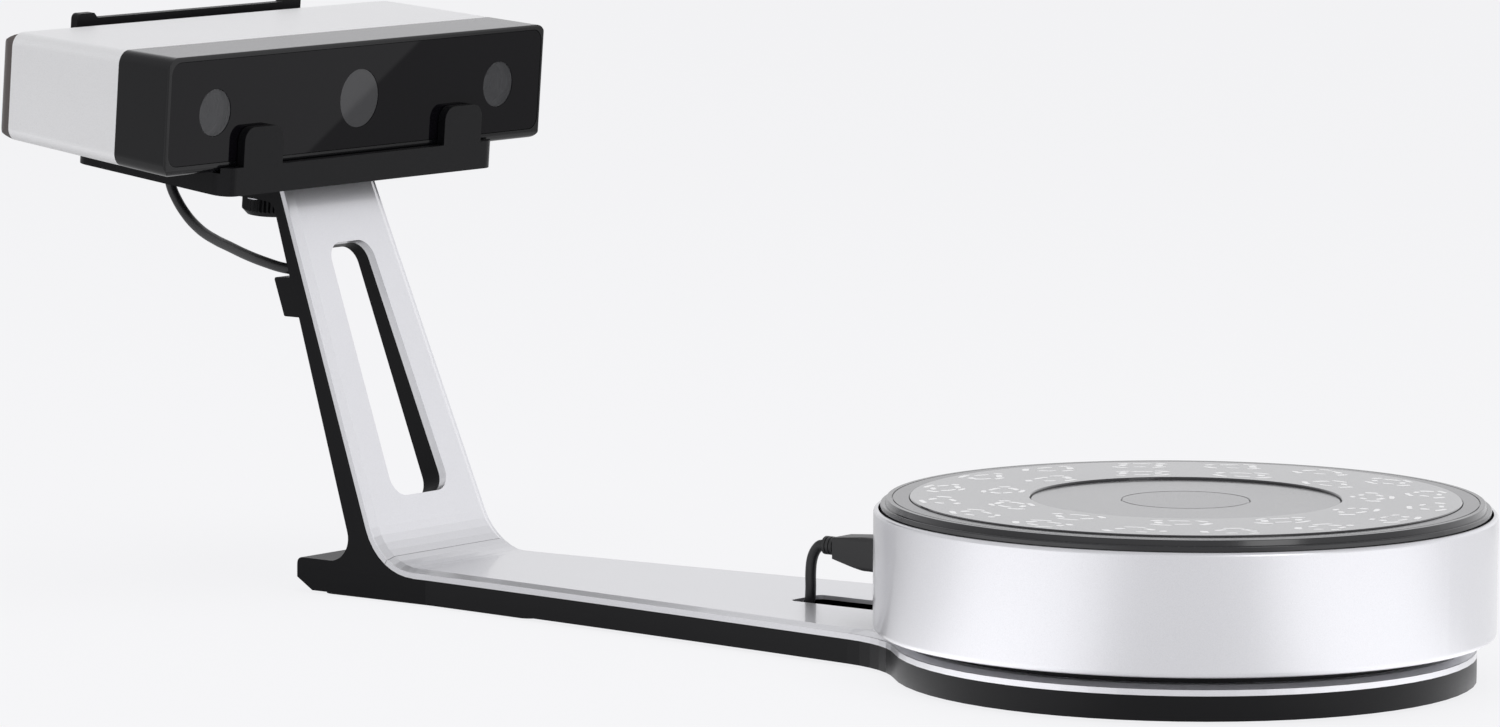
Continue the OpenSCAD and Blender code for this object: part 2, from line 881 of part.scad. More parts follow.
// Side outline of the upright's dark moulding, with its foot and the bracket under the cradle
function frame_side() =
  let (under = head_place([0, cradle_low(0)]),
    under_dir = head_place([-1, cradle_low(-1)]) - under,
    low = head_place([0, -bracket_drop]),
    low_dir = [cos(head_tilt), -sin(head_tilt)])
  rounded([
    [-seam_reach, foot_t], [-seam_reach, seam_z], [bend_corner_x, seam_z],
    meet([front_x(0), 0], [-tan(upright_lean), 1], under, under_dir),
    head_place([-bracket_back, cradle_low(-bracket_back)]), head_place([-bracket_back, -bracket_drop]),
    meet([rear_x(0), 0], [-tan(rear_lean), 1], low, low_dir),
    [rear_x(foot_top), foot_top], [-foot_reach, foot_top], [-foot_reach, foot_cut_z],
    [-foot_reach + foot_cut_l, foot_t]
  ], [0, 0, bend_r, 0, bracket_end_round, bracket_end_round, bracket_fillet, foot_fillet,
    foot_rear_round, 0, 0]);

// Front outline of the upright, drawn in by inset
function frame_front(inset, top) = [
  [-(arm_back_half - inset), 0], [arm_back_half - inset, 0], [arm_back_half - inset, seam_z],
  [half_at(top) - inset, top], [-(half_at(top) - inset), top], [-(arm_back_half - inset), seam_z]
];

// Dark moulding of the upright, its foot and the bracket
module upright_frame() {
  cavity_top = head_place([-bracket_back / 2, -bracket_drop])[1] - cavity_margin;
  inner = wall / cos(rear_lean);
  color(dark) placed() difference() {
    intersection() {
      across(frame_side(), upright_half + over);
      along(frame_front(0, upright_top), -foot_reach - bracket_back, -seam_reach + over);
    }
    difference() {
      intersection() {
        across([[-seam_reach + over, floor_z], [rear_x(floor_z) + inner, floor_z],
            [rear_x(cavity_top) + inner, cavity_top], [-seam_reach + over, cavity_top]],
          upright_half + over);
        along(frame_front(cavity_side, upright_top), -foot_reach - bracket_back,
          -seam_reach + 2 * over);
      }
      on_upright() translate([0, 0, -slot_depth]) linear_extrude(slot_depth + cover_t)
        polygon(slot_plan(slot_wall));
      on_upright() at_upright_screws() cylinder_from(upright_boss_r, -slot_depth, cover_t);
    }
    on_upright() translate([0, 0, -slot_depth]) linear_extrude(slot_depth + bend_r)
      polygon(slot_plan(0));
    on_upright() at_upright_screws() cylinder_from(screw_r + screw_play, -slot_depth, cover_t);
    along(lead_hole(), rear_x(lead_entry_z) - lead_hole_l / 2, rear_x(lead_entry_z) + lead_hole_l);
    translate([-head_reach, 0, head_z]) rotate([0, head_tilt, 0]) {
      translate([-insert_x, 0, 0]) cylinder_from(stud_r + fit_gap, -cradle_drop - bracket_drop, 0);
      at_cradle_screws() cylinder_from(screw_r + screw_play, -cradle_drop - bracket_drop, 0);
    }
    at_spine_screws(spine_screws_x[0]) screw_way_flush();
  }
}

// Hole through which the lead goes into the upright, in y and z
function lead_hole() =
  let (r = lead_d / 2 + lead_hole_gap)
  rounded_box(-lead_y - r, -lead_y + r, lead_entry_z - r - lead_hole_drop, lead_entry_z + r, r * 0.9);

// Silver cover of the upright, bevelled along its sides, with the long slot
module upright_cover() {
  start_turn = cover_joint_turn + cover_seam / bend_r * 180 / PI;
  foot = bend_station(bend_turn);
  stations = concat(
    [for (i = [0:bend_steps]) bend_station(start_turn + (bend_turn - start_turn) * i / bend_steps)],
    [moved(foot, slot_start + slot_len)]);
  color(silver) placed() difference() {
    union() {
      cover_strip(stations);
      on_upright() linear_extrude(cover_t - cover_skin / 2) polygon(slot_plan(slot_lip));
      on_upright() at_upright_screws() cylinder_from(upright_boss_r, 0, cover_t - cover_skin / 2);
    }
    on_upright() translate([0, 0, -slot_depth]) linear_extrude(slot_depth + bend_r)
      polygon(slot_plan(0));
    on_upright() at_upright_screws() cylinder_from(screw_r, -slot_depth, cover_t - cover_skin / 2);
    translate([-head_reach, 0, head_z]) rotate([0, head_tilt, 0])
      across([
        [over, cradle_low(over) - bracket_gap], [-bracket_back, cradle_low(-bracket_back) - bracket_gap],
          [-bracket_back, head_up], [over, head_up]], upright_half);
  }
}

// Screws from the back of the upright into its cover, whose heads lie on its rear wall
module upright_screws() {
  color(steel) placed() on_upright() at_upright_screws() {
    deep = upright_depth($along);
    translate([0, 0, -deep - screw_head_t]) screw(deep + screw_head_t + cover_skin - screw_play);
  }
}

// Bevelled top of the arm and the ring: a cone over the base, a loft over the arm, and a fillet on each side
module arm_bevel() {
  top_t = cover_t - edge_h;
  start = fillet_centre - arm_fillet_r * arm_normal;
  inner = [-base_r * inner_share, start[1] * inner_share];
  side = concat([[bend_x, arm_back_half]],
    [for (i = [0:waist_steps]) let (t = i / waist_steps)
      [-seam_reach + t * (seam_reach - arm_front_reach), arm_curve(t)]],
    [start, inner]);
  edge = [[edge_ledge, -over], [edge_ledge, 0], [bevel_in, top_t]];
  translate([0, 0, seam_z + edge_h]) {
    cylinder(h = top_t, r1 = base_r - edge_ledge, r2 = base_r - bevel_in);
    for (flip = [0, 1]) mirror([0, flip, 0]) difference() {
      linear_extrude(top_t)
        polygon([[0, 0], start, fillet_centre, base_r * unit(fillet_centre - [0, wedge_back])]);
      translate([fillet_centre[0], fillet_centre[1], 0])
        cylinder(h = top_t, r1 = arm_fillet_r + edge_ledge, r2 = arm_fillet_r + bevel_in);
    }
    lofted([for (p = side) concat(
      [for (e = edge) [p[0], p[1] - e[0], e[1]]], [for (e = reversed(edge)) [p[0], e[0] - p[1], e[1]]])]);
  }
}

// Silver cover of the arm and the ring round the base, with the lead's window
module arm_cover() {
  boss_r = screw_head_r + screw_play + boss_wall;
  color(silver) placed() {
    difference() {
      union() {
        difference() {
          union() {
            translate([0, 0, seam_z]) linear_extrude(edge_h) polygon(arm_plan(bend_x, 0));
            arm_bevel();
          }
          translate([0, 0, seam_z - over]) linear_extrude(cover_t - cover_skin + over)
            polygon(arm_plan(bend_x - over, cover_side));
        }
        cover_strip([for (i = [0:bend_steps]) bend_station(cover_joint_turn * i / bend_steps)]);
        at_arm_screws() cylinder_from(boss_r, seam_z - arm_boss_top, deck_z - cover_skin);
      }
      cylinder_from(ring_hole_r, seam_z - over, deck_z + over);
      translate([0, 0, seam_z - over]) linear_extrude(cover_t + 2 * over)
        polygon(rounded_box(-window_start, -window_end, -window_half, window_half, window_round));
      at_chassis_screws() cylinder_from(screw_r + screw_play, 0, deck_z + over);
      at_arm_screws() cylinder_from(screw_r, 0, deck_z - cover_skin + seat_gap);
    }
  }
}

function reversed(points) = [for (i = [len(points) - 1:-1:0]) points[i]];

// Block on the back of the upright, under the lead's way in
module cable_guide() {
  side = rounded([
    [rear_x(guide_z0), guide_z0], [rear_x(guide_z1), guide_z1],
    [rear_x(guide_z1) - guide_depth, guide_z1], [rear_x(guide_z0) - guide_depth, guide_z0]
  ], [0, 0, guide_round, guide_round]);
  foot_low = guide_z0 - guide_foot_l;
  foot = [[rear_x(foot_low), foot_low], [rear_x(guide_z1), guide_z1],
      [rear_x(guide_z1) - guide_foot_depth, guide_z1], [rear_x(foot_low) - guide_foot_depth, foot_low]];
  color(dark) placed() translate([0, -(guide_y0 + guide_y1) / 2, 0]) {
    across(side, (guide_y0 - guide_y1) / 2);
    across(foot, (guide_y0 - guide_y1) / 2);
  }
}

module chassis_screws() {
  seat = floor_z + screw_head_t;
  color(steel) placed() {
    at_chassis_screws() translate([0, 0, seat]) screw(drum_z - neck_skin - seat);
    at_arm_screws() translate([0, 0, seat]) screw(deck_z - cover_skin - seat);
  }
}

// Dark chassis of the turntable, with its neck, hub and posts
module turntable_chassis() {
  color(dark) placed() difference() {
    union() {
      rotate_extrude() polygon([
        [bush_r + seat_gap, chassis_z], [neck_in_r, chassis_z], [neck_in_r, deck_z], [neck_r, deck_z],
        [neck_r, drum_z], [flange_r - seat_gap, drum_z], [flange_r - seat_gap, chassis_z],
        [drum_in_r - fit_gap, chassis_z], [drum_in_r - fit_gap, floor_top_z],
        [chassis_hub_r, floor_top_z], [chassis_hub_r, bracket_top_z], [bush_r + seat_gap, bracket_top_z]
      ]);
      at_bracket_posts() cylinder_from(post_r, floor_top_z - over, bracket_z);
      at_board_posts() cylinder_from(board_post_r, floor_top_z - over, floor_top_z + board_lift);
    }
    at_bracket_posts() cylinder_from(screw_r, bracket_z - 2 * screw_bite, bracket_z + over);
    at_chassis_screws() cylinder_from(screw_r, deck_z - over, drum_z - neck_skin);
  }
}

module at_bracket_posts() {
  for (sx = [-1, 1], sy = [-1, 1])
    translate([gear_centre + sx * (motor_w / 2 - post_r), sy * (motor_w / 2 + post_r + post_gap), 0])
      children();
}

module at_board_posts() {
  for (x = [table_board_start + board_post_inset, table_board_start + table_board_l - board_post_inset],
    s = [-1, 1])
    translate([-x, s * (table_board_w / 2 - board_post_inset), 0]) children();
}

module drum_shell() {
  points = rounded([
    [flange_r, drum_z], [drum_r, drum_z], [drum_r, drum_top_z], [drum_in_r, drum_top_z],
    [drum_in_r, chassis_z], [flange_r, chassis_z]
  ], [0, drum_foot_r, drum_lip_r, 0, 0, 0]);
  half = nose_w / 2 + fit_gap;
  up = nose_h / 2 + fit_gap;
  color(silver) placed() difference() {
    rotate_extrude() polygon(points);
    block([-drum_r - over, -half, table_relief_z - up], [-neck_r, half, table_relief_z + up]);
  }
}

module shaft_bushes() {
  r = shaft_r + running_gap;
  color(brass) placed() {
    rotate_extrude() polygon([
      [r, bracket_top_z - bush_len], [bush_r, bracket_top_z - bush_len], [bush_r, bracket_top_z],
      [bush_r + bush_flange_w, bracket_top_z], [bush_r + bush_flange_w, bracket_top_z + bush_flange_t],
      [r, bracket_top_z + bush_flange_t]
    ]);
    rotate_extrude() polygon([
      [r, chassis_z], [bush_r, chassis_z], [bush_r, chassis_z + bush_len], [r, chassis_z + bush_len]
    ]);
  }
}

module motor_bracket() {
  x_half = motor_w / 2 + bracket_margin / 2;
  y_half = motor_w / 2 + post_r + post_gap + bracket_margin;
  color(steel) placed() difference() {
    translate([gear_centre, 0, bracket_z]) linear_extrude(bracket_t)
      polygon(rounded_box(-x_half, x_half, -y_half, y_half, bracket_round));
    translate([gear_centre, 0, 0]) cylinder_from(motor_pilot_r + seat_gap, 0, drum_top_z);
    at_bracket_posts() cylinder_from(screw_r + screw_play, 0, drum_top_z);
    at_motor_screws() cylinder_from(screw_r + screw_play, 0, drum_top_z);
  }
}

module at_motor_screws() {
  for (sx = [-1, 1], sy = [-1, 1])
    translate([gear_centre + sx * motor_screw_pitch / 2, sy * motor_screw_pitch / 2, 0]) children();
}

module motor_screws() {
  color(steel) placed() {
    at_bracket_posts() translate([0, 0, bracket_top_z]) rotate([180, 0, 0]) screw(bracket_t + screw_bite);
    at_motor_screws() translate([0, 0, bracket_top_z]) rotate([180, 0, 0]) screw(bracket_t + screw_bite / 2);
  }
}

module stepper_motor() {
  half = motor_w / 2;
  color(satin_dark) placed() difference() {
    translate([gear_centre, 0, 0]) union() {
      translate([0, 0, motor_z]) linear_extrude(motor_h)
        polygon(rounded_box(-half, half, -half, half, motor_corner));
      cylinder_from(motor_pilot_r, bracket_z - over, bracket_top_z);
    }
    translate([gear_centre, 0, 0]) cylinder_from(motor_shaft_r + running_gap, motor_z + wall, drum_top_z);
    at_motor_screws() cylinder_from(screw_r, bracket_z - screw_bite, drum_top_z);
  }
}

module turntable_board() {
  z = floor_top_z + board_lift;
  half = table_board_w / 2;
  color(board_green) placed() {
    block([-table_board_start - table_board_l, -half, z], [-table_board_start, half, z + board_t]);
    for (s = [-1, 1])
      block([-table_board_start - chip_pitch - chip_l, s * chip_pitch - chip_w / 2, z + board_t - over / 2],
        [-table_board_start - chip_pitch, s * chip_pitch + chip_w / 2, z + board_t + chip_h]);
  }
}

module drum_socket() {
  z = floor_top_z + board_lift + board_t;
  front = -drum_in_r + fit_gap * 2;
  half = nose_w / 2 + fit_gap;
  up = nose_h / 2 + fit_gap;
  color(dark) placed() difference() {
    block([front, -socket_w / 2, z], [front + socket_l, socket_w / 2, z + socket_h]);
    block([front - over, -half, table_relief_z - up],
      [-drum_r + nose_l + socket_gap, half, table_relief_z + up]);
  }
}

module platter() {
  color(satin_dark) placed() difference() {
    rotate_extrude() polygon(rounded([
      [0, dish_z], [0, plate_z + shaft_seat], [shaft_r + seat_gap, plate_z + shaft_seat],
      [shaft_r + seat_gap, gear_top_z], [boss_r, gear_top_z], [boss_r, plate_z],
      [skirt_r - skirt_w, plate_z], [skirt_r - skirt_w, plate_z - skirt_drop],
      [skirt_r, plate_z - skirt_drop],
      [skirt_r, ledge_z], [rim_r + rim_slope, ledge_z], [rim_r - rim_slope, rim_z],
      [groove_r + groove_w, rim_z], [groove_r + groove_w, rim_z - groove_depth],
      [groove_r, rim_z - groove_depth], [groove_r, rim_z], [dish_r, rim_z], [dish_r, dish_z]
    ], [0, 0, 0, 0, 0, 0, 0, 0, 0, ledge_round, 0, rim_slope, 0, 0, 0, 0, rim_slope, 0]));
    at_hub_screws() cylinder_from(screw_r, gear_z, plate_z + shaft_seat);
  }
}

module at_hub_screws() {
  for (i = [0:hub_screw_count - 1])
    rotate([0, 0, 360 * (i + 1 / 2) / hub_screw_count]) translate([hub_screw_circle, 0, 0]) children();
}

// Flat disc or ring on the dish, with chamfered edges
module dish_disc(r_in, r_out, t) {
  rotate_extrude() polygon([
    [r_in, dish_z], [r_out, dish_z], [r_out, dish_z + t - disc_chamfer], [r_out - disc_chamfer, dish_z + t],
    [r_in + (r_in > 0 ? disc_chamfer : 0), dish_z + t], [r_in, dish_z + t - (r_in > 0 ? disc_chamfer : 0)]
  ]);
}

module marker_plate() {
  color(glass_dark) placed() dish_disc(mat_hole_r, dish_r - disc_gap, marker_t);
}

module centre_mat() {
  color(satin_dark) placed() dish_disc(cap_r + disc_gap, mat_hole_r - disc_gap, mat_t);
}

module centre_cap() {
  color(glass_dark) placed() dish_disc(0, cap_r, mat_t);
}

module platter_shaft() {
  color(steel) placed() cylinder_from(shaft_r, chassis_z - shaft_tail, plate_z + shaft_seat);
}

module shaft_clip() {
  top = chassis_z - clip_drop;
  color(steel) placed() difference() {
    cylinder_from(shaft_r + clip_w, top - clip_t, top);
    cylinder_from(shaft_r + seat_gap, top - clip_t - over, top + over);
  }
}

module drive_gear() {
  hub_low = bracket_top_z + bush_flange_t + thrust_gap;
  color(nylon) placed() difference() {
    union() {
      translate([0, 0, gear_z]) linear_extrude(gear_t) polygon(gear_plan(gear_teeth, 0));
      cylinder_from(gear_hub_r, hub_low, gear_z + over);
    }
    translate([0, 0, gear_z - over]) difference() {
      cylinder(h = web_depth + over, r = web_out_r);
      translate([0, 0, -over]) cylinder(h = web_depth + 3 * over, r = web_in_r);
    }
    cylinder_from(shaft_r + seat_gap, 0, drum_top_z);
    at_hub_screws() cylinder_from(screw_r + screw_play, 0, drum_top_z);
  }
}

module hub_screws() {
  color(steel) placed() at_hub_screws()
    translate([0, 0, gear_z + web_depth]) screw(plate_z + shaft_seat - gear_z - web_depth - screw_play);
}

module motor_pinion() {
  gap_turn = 180 / pinion_teeth * (pinion_teeth % 2 == 0 ? 1 : 0);
  color(brass) placed() translate([gear_centre, 0, 0]) {
    translate([0, 0, gear_z]) linear_extrude(gear_t) polygon(gear_plan(pinion_teeth, gap_turn));
    cylinder_from(motor_shaft_r, motor_z + wall + fit_gap, gear_top_z + shaft_over);
  }
}

module at_cradle_screws() {
  for (x = cradle_screw_x, s = [-1, 1]) {
    $low = cradle_low(-x);
    translate([-x, s * cradle_screw_y, 0]) children();
  }
}

// Black cradle: tray, hooks, rails and rear wall
module cradle() {
  back = -cradle_back;
  wall_back = -cradle_side_back;
  front = cradle_front;
  plan = rounded([
    [front, -cradle_half], [front, cradle_half], [wall_back, cradle_half], [wall_back, tongue_half],
    [back, tongue_half], [back, -tongue_half], [wall_back, -tongue_half], [wall_back, -cradle_half]
  ], [cradle_front_round, cradle_front_round, 3 * wall, wall, wall, wall, wall, 3 * wall]);
  pocket = rounded([
    [front - hook_t, -cradle_half + wall], [front - hook_t, cradle_half - wall],
    [wall_back + wall, cradle_half - wall], [wall_back + wall, tongue_half - wall],
    [back + rear_wall_t, tongue_half - wall], [back + rear_wall_t, -tongue_half + wall],
    [wall_back + wall, -tongue_half + wall], [wall_back + wall, -cradle_half + wall]
  ], [wall, wall, wall, 0, wall, wall, 0, wall]);
  wall_up = rear_wall_up;
  rear_outline = rounded([
    [-rear_wall_half, lip_z - over], [rear_wall_half, lip_z - over], [rear_wall_half, wall_up + rear_bump_h],
    [rear_wall_half - rear_bump_w, wall_up + rear_bump_h],
    [rear_wall_half - rear_bump_w - rear_bump_h, wall_up],
    [-rear_wall_half + rear_bump_w + rear_bump_h, wall_up],
    [-rear_wall_half + rear_bump_w, wall_up + rear_bump_h],
    [-rear_wall_half, wall_up + rear_bump_h]
  ], [0, 0, wall, wall / 2, wall / 2, wall / 2, wall / 2, wall]);
  color(dark) at_head() difference() {
    union() {
      difference() {
        intersection() {
          translate([0, 0, -2 * cradle_drop]) linear_extrude(3 * cradle_drop) polygon(plan);
          across(cradle_side(), cradle_half + over);
        }
        intersection() {
          translate([0, 0, -2 * cradle_drop]) linear_extrude(3 * cradle_drop) polygon(pocket);
          across([[front, cradle_low(front) + wall], [front, head_up], [back, head_up],
              [back, cradle_low(back) + wall]], cradle_half);
        }
      }
      for (s = [-1, 1]) {
        along(rounded([
          [s * hook_in, lip_z - over], [s * (hook_in + hook_w), lip_z - over],
          [s * (hook_in + hook_w), lip_z + hook_h], [s * hook_in, lip_z + hook_h]
        ], [0, 0, hook_round, hook_round]), hook_face, front);
      }
      along(rear_outline, back, back + rear_wall_t);
      intersection() {
        union() {
          for (y = rail_y, s = [-1, 1])
            block([-rail_back, s * y - rail_t / 2, -cradle_drop], [-rail_front, s * y + rail_t / 2, 0]);
          translate([-insert_x, 0, 0]) cylinder_from(cradle_boss_r, -cradle_drop, 0);
        }
        across([[front, cradle_low(front) + wall / 2], [front, head_low(front) - pad_t],
            [back, head_low(back) - pad_t], [back, cradle_low(back) + wall / 2]], cradle_half);
      }
      at_cradle_screws() cylinder_from(screw_r + boss_wall, $low + wall / 2, $low + wall + cradle_boss_h);
    }
    across([[cradle_gap, head_low(cradle_gap) - cradle_gap], [cradle_gap, head_up],
        [-head_back, head_up], [-head_back, head_low(-head_back) - cradle_gap]], cradle_half + over);
    along(rounded_box(-rear_window_half, rear_window_half, -rear_window_low, rear_window_up, wall),
      back - over, back + rear_wall_t + over);
    translate([-insert_x, 0, 0]) cylinder_from(stud_r + fit_gap, -2 * cradle_drop, 0);
    at_cradle_screws() cylinder_from(screw_r, -2 * cradle_drop, $low + wall + cradle_boss_h + over);
  }
}

module cradle_screws() {
  color(steel) at_head() at_cradle_screws()
    translate([0, 0, -bracket_drop - washer_gap])
      screw($low + wall + cradle_boss_h + bracket_drop - screw_play);
}

module cradle_pads() {
  color(rubber) at_head() {
    for (y = rail_y, s = [-1, 1]) intersection() {
      block([-rail_back, s * y - rail_t / 2, -cradle_drop], [-rail_front, s * y + rail_t / 2, 0]);
      across([[0, head_low(0) - pad_t], [0, head_low(0)], [-cradle_back, head_low(-cradle_back)],
          [-cradle_back, head_low(-cradle_back) - pad_t]], cradle_half);
    }
    for (s = [-1, 1])
      block([-head_back - rear_gap, s * rear_pad_y - rear_pad_w / 2, -rear_pad_h / 2],
        [-head_back, s * rear_pad_y + rear_pad_w / 2, rear_pad_h / 2]);
  }
}

module clamp_washer() {
  color(steel) at_head() translate([-insert_x, 0, 0]) difference() {
    cylinder_from(washer_r, -bracket_drop - washer_gap - washer_t, -bracket_drop - washer_gap);
    cylinder_from(stud_r + running_gap, -2 * bracket_drop, 0);
  }
}

// Knurled knob with the stud that goes up into the head
module clamp_screw() {
  top = -bracket_drop - 2 * washer_gap - washer_t;
  tip = head_low(-insert_x) + insert_l - stud_short;
  grooves = [for (i = [0:2 * knurl_count - 1])
    let (r = knob_r - (i % 2) * knurl_depth, a = 180 * i / knurl_count)
    r * [cos(a), sin(a)]];
  color(dark) at_head() translate([-insert_x, 0, 0]) {
    intersection() {
      translate([0, 0, top - knob_h]) linear_extrude(knob_h) polygon(grooves);
      rotate_extrude() polygon([
        [0, top - knob_h], [knob_r - 2 * knob_chamfer, top - knob_h],
        [knob_r, top - knob_h + 2 * knob_chamfer],
        [knob_r, top - knob_chamfer / 2], [knob_r - knob_chamfer / 2, top], [0, top]
      ]);
    }
    cylinder_from(stud_r, top - over, tip);
  }
}

// Solid form of the head between two distances behind its front, drawn in by inset: an upper half with
// a level top, and a lower half tilted to the slope of the underside
module head_form(x0, x1, inset) {
  half = head_half - inset;
  r = max(head_corner - inset, 1);
  intersection() {
    block([x0, -head_half - over, -2 * head_up], [x1, head_half + over, 2 * head_up]);
    union() {
      along(rounded([[-half, -head_up / 2], [half, -head_up / 2], [half, head_up - inset],
        [-half, head_up - inset]], [0, 0, r, r]), x0 - over, x1 + over);
      translate([0, 0, -head_low_front]) rotate([0, atan(head_low_rise), 0])
        along(rounded([[-half, inset], [half, inset], [half, head_up], [-half, head_up]], [r, r, 0, 0]),
          x0 - 2 * over, x1 + 2 * over);
    }
  }
}

module head_shell() {
  x0 = -shell_back;
  x1 = -bezel_depth;
  color(pale_silver) at_head() difference() {
    union() {
      difference() {
        head_form(x0, x1, 0);
        head_form(x0 - over, x1 + over, head_wall);
      }
      intersection() {
        union() {
          at_rear_screws() rod(shell_boss_r, x0, x0 + shell_boss_l);
          translate([-insert_x, 0, 0]) cylinder_from(insert_boss_r, -head_up * 2,
            head_low(-insert_x) + insert_boss_l);
        }
        head_form(x0, x1, head_wall / 2);
      }
    }
    translate([-insert_x, 0, 0])
      cylinder_from(insert_r + seat_gap, -2 * head_up, head_low(-insert_x) + insert_l);
    at_rear_screws() rod(screw_r, x0 - over, x0 + shell_boss_l - wall);
  }
}

module tripod_insert() {
  low = head_low(-insert_x);
  color(brass) at_head() translate([-insert_x, 0, 0]) difference() {
    cylinder_from(insert_r, low + head_low_rise * insert_r, low + insert_l);
    cylinder_from(stud_r + stud_gap, low - over, low + insert_l + over);
  }
}

module head_bezel() {
  back = -bezel_depth - over;
  side = rounded([[back, head_up], [0, head_up], [0, head_low(0)], [back, head_low(back)]],
    [0, nose_top_round, nose_low_round, 0]);
  plan = rounded([[back, -head_half], [0, -head_half], [0, head_half], [back, head_half]],
    [0, nose_round, nose_round, 0]);
  seat = -glass_t - glass_set;
  color(dark) at_head() difference() {
    union() {
      difference() {
        intersection() {
          head_form(-bezel_depth, 0, 0);
          across(side, head_half + over);
          translate([0, 0, -2 * head_up]) linear_extrude(4 * head_up) polygon(plan);
        }
        head_form(back, seat - bezel_plate_t, head_wall);
      }
      difference() {
        union() {
          head_form(-bezel_depth - bezel_lip, -bezel_depth + bezel_lip, head_wall + fit_gap);
          head_form(-bezel_depth, -bezel_depth + bezel_lip, head_wall - seat_gap);
        }
        head_form(-bezel_depth - 2 * bezel_lip, -bezel_depth + 2 * bezel_lip, 2 * head_wall);
      }
      at_bench_screws() rod(bench_boss_r, -bench_front, seat - bezel_plate_t / 2);
    }
    along(rounded_box(-glass_half - glass_gap, glass_half + glass_gap, -glass_low - glass_gap,
      glass_up + glass_gap, glass_round + glass_gap), seat, over);
    along(rounded_box(-bezel_open_half, bezel_open_half, -bezel_open_up, bezel_open_up, glass_round),
      -bezel_depth, over);
    at_bench_screws() rod(screw_r, -bench_front - over, seat - wall / 2);
  }
}

module front_glass() {
  color(glass_dark) at_head() difference() {
    along(rounded_box(-glass_half, glass_half, -glass_low, glass_up, glass_round),
      -glass_t - glass_set, -glass_set);
    at_window(0) rod(projector_window_r, -2 * glass_t, over);
    for (s = [-1, 1]) at_window(s * camera_pitch) rod(camera_window_r, -2 * glass_t, over);
  }
}

module at_window(y) {
  translate([0, y, window_z]) children();
}

module window(r) {
  rod(r - window_gap, -window_t - window_set - glass_set, -window_set - glass_set);
}

module left_window() {
  color(lens_tint) at_head() at_window(-camera_pitch) window(camera_window_r);
}

module right_window() {
  color(lens_tint) at_head() at_window(camera_pitch) window(camera_window_r);
}

module projector_window() {
  color(lens_tint) at_head() at_window(0) window(projector_window_r);
}

module optic_bench() {
  color(steel) at_head() difference() {
    along(rounded_box(-bench_half, bench_half, -bench_up, bench_up, bench_round),
      -bench_front - bench_t, -bench_front);
    at_window(0) rod(projector_barrel_r + seat_gap, -2 * bench_front, 0);
    for (s = [-1, 1]) at_window(s * camera_pitch) rod(barrel_r + seat_gap, -2 * bench_front, 0);
    at_bench_screws() rod(screw_r + screw_play, -2 * bench_front, 0);
  }
}

module at_bench_screws() {
  at_corners(bench_screw_y, bench_screw_z) children();
}

module bench_screws() {
  color(steel) at_head() at_bench_screws() translate([-bench_front - bench_t, 0, 0])
    rotate([0, 90, 0]) screw(bench_t + screw_bite);
}

module camera_unit() {
  back = -bench_front - bench_t;
  half = camera_w / 2;
  board_half = camera_board_w / 2;
  difference() {
    union() {
      rod(barrel_r, back - over, -barrel_front);
      block([back - camera_body_l, -half, -half], [back, half, half]);
      block([back - camera_body_l - board_t, -board_half, -board_half],
        [back - camera_body_l + over / 2, board_half, board_half]);
    }
    rod(barrel_bore_r, -barrel_front - barrel_bore_l, 0);
  }
}

module left_camera() {
  color(satin_dark) at_head() at_window(-camera_pitch) camera_unit();
}

module right_camera() {
  color(satin_dark) at_head() at_window(camera_pitch) camera_unit();
}

module camera_lenses() {
  color(lens_tint) at_head() for (s = [-1, 1]) at_window(s * camera_pitch)
    lens(barrel_bore_r - lens_gap, barrel_front + barrel_bore_l);
}

// Lens whose flat back sits on the bottom of its bore, crowned in front
module lens(r, back) {
  crown = r * r / (2 * lens_set) + lens_set / 2;
  arc = [for (i = [0:lens_steps])
    let (y = r * (1 - i / lens_steps))
    [y, lens_t + sqrt(crown * crown - y * y) - sqrt(crown * crown - r * r)]];
  translate([-back, 0, 0]) rotate([0, 90, 0]) rotate_extrude() polygon(concat([[0, 0], [r, 0]], arc));
}

module projector_module() {
  back = -bench_front - bench_t;
  color(satin_dark) at_head() difference() {
    union() {
      at_window(0) rod(projector_barrel_r, back - over, -barrel_front);
      block([back - projector_l, -projector_half, -projector_low], [back, projector_half, projector_high]);
    }
    at_window(0) rod(projector_bore_r, -barrel_front - barrel_bore_l, 0);
  }
}

module projector_lens() {
  color(lens_tint) at_head() at_window(0) lens(projector_bore_r - lens_gap, barrel_front + barrel_bore_l);
}

module heat_sink() {
  front = -bench_front - bench_t - projector_l;
  pitch = (2 * projector_half - sink_fin_t) / (sink_fins - 1);
  color(steel) at_head() {
    block([front - sink_base_t, -projector_half, -projector_low], [front, projector_half, projector_high]);
    for (i = [0:sink_fins - 1])
      translate([0, -projector_half + i * pitch, 0])
        block([front - sink_l, 0, -projector_low], [front - sink_base_t / 2, sink_fin_t, projector_high]);
  }
}

module main_board() {
  color(board_green) at_head() {
    block([-board_x - board_t, -board_left, -board_low], [-board_x, board_right, board_high]);
    block([-board_x - over / 2, -board_left / 2, -board_low / 2],
      [-board_x + chip_h, -board_left / 4, board_low / 2]);
    block([-board_x - board_t - switch_t, button_y - switch_w / 2, button_z - switch_w / 2],
      [-board_x - board_t / 2, button_y + switch_w / 2, button_z + switch_w / 2]);
  }
}

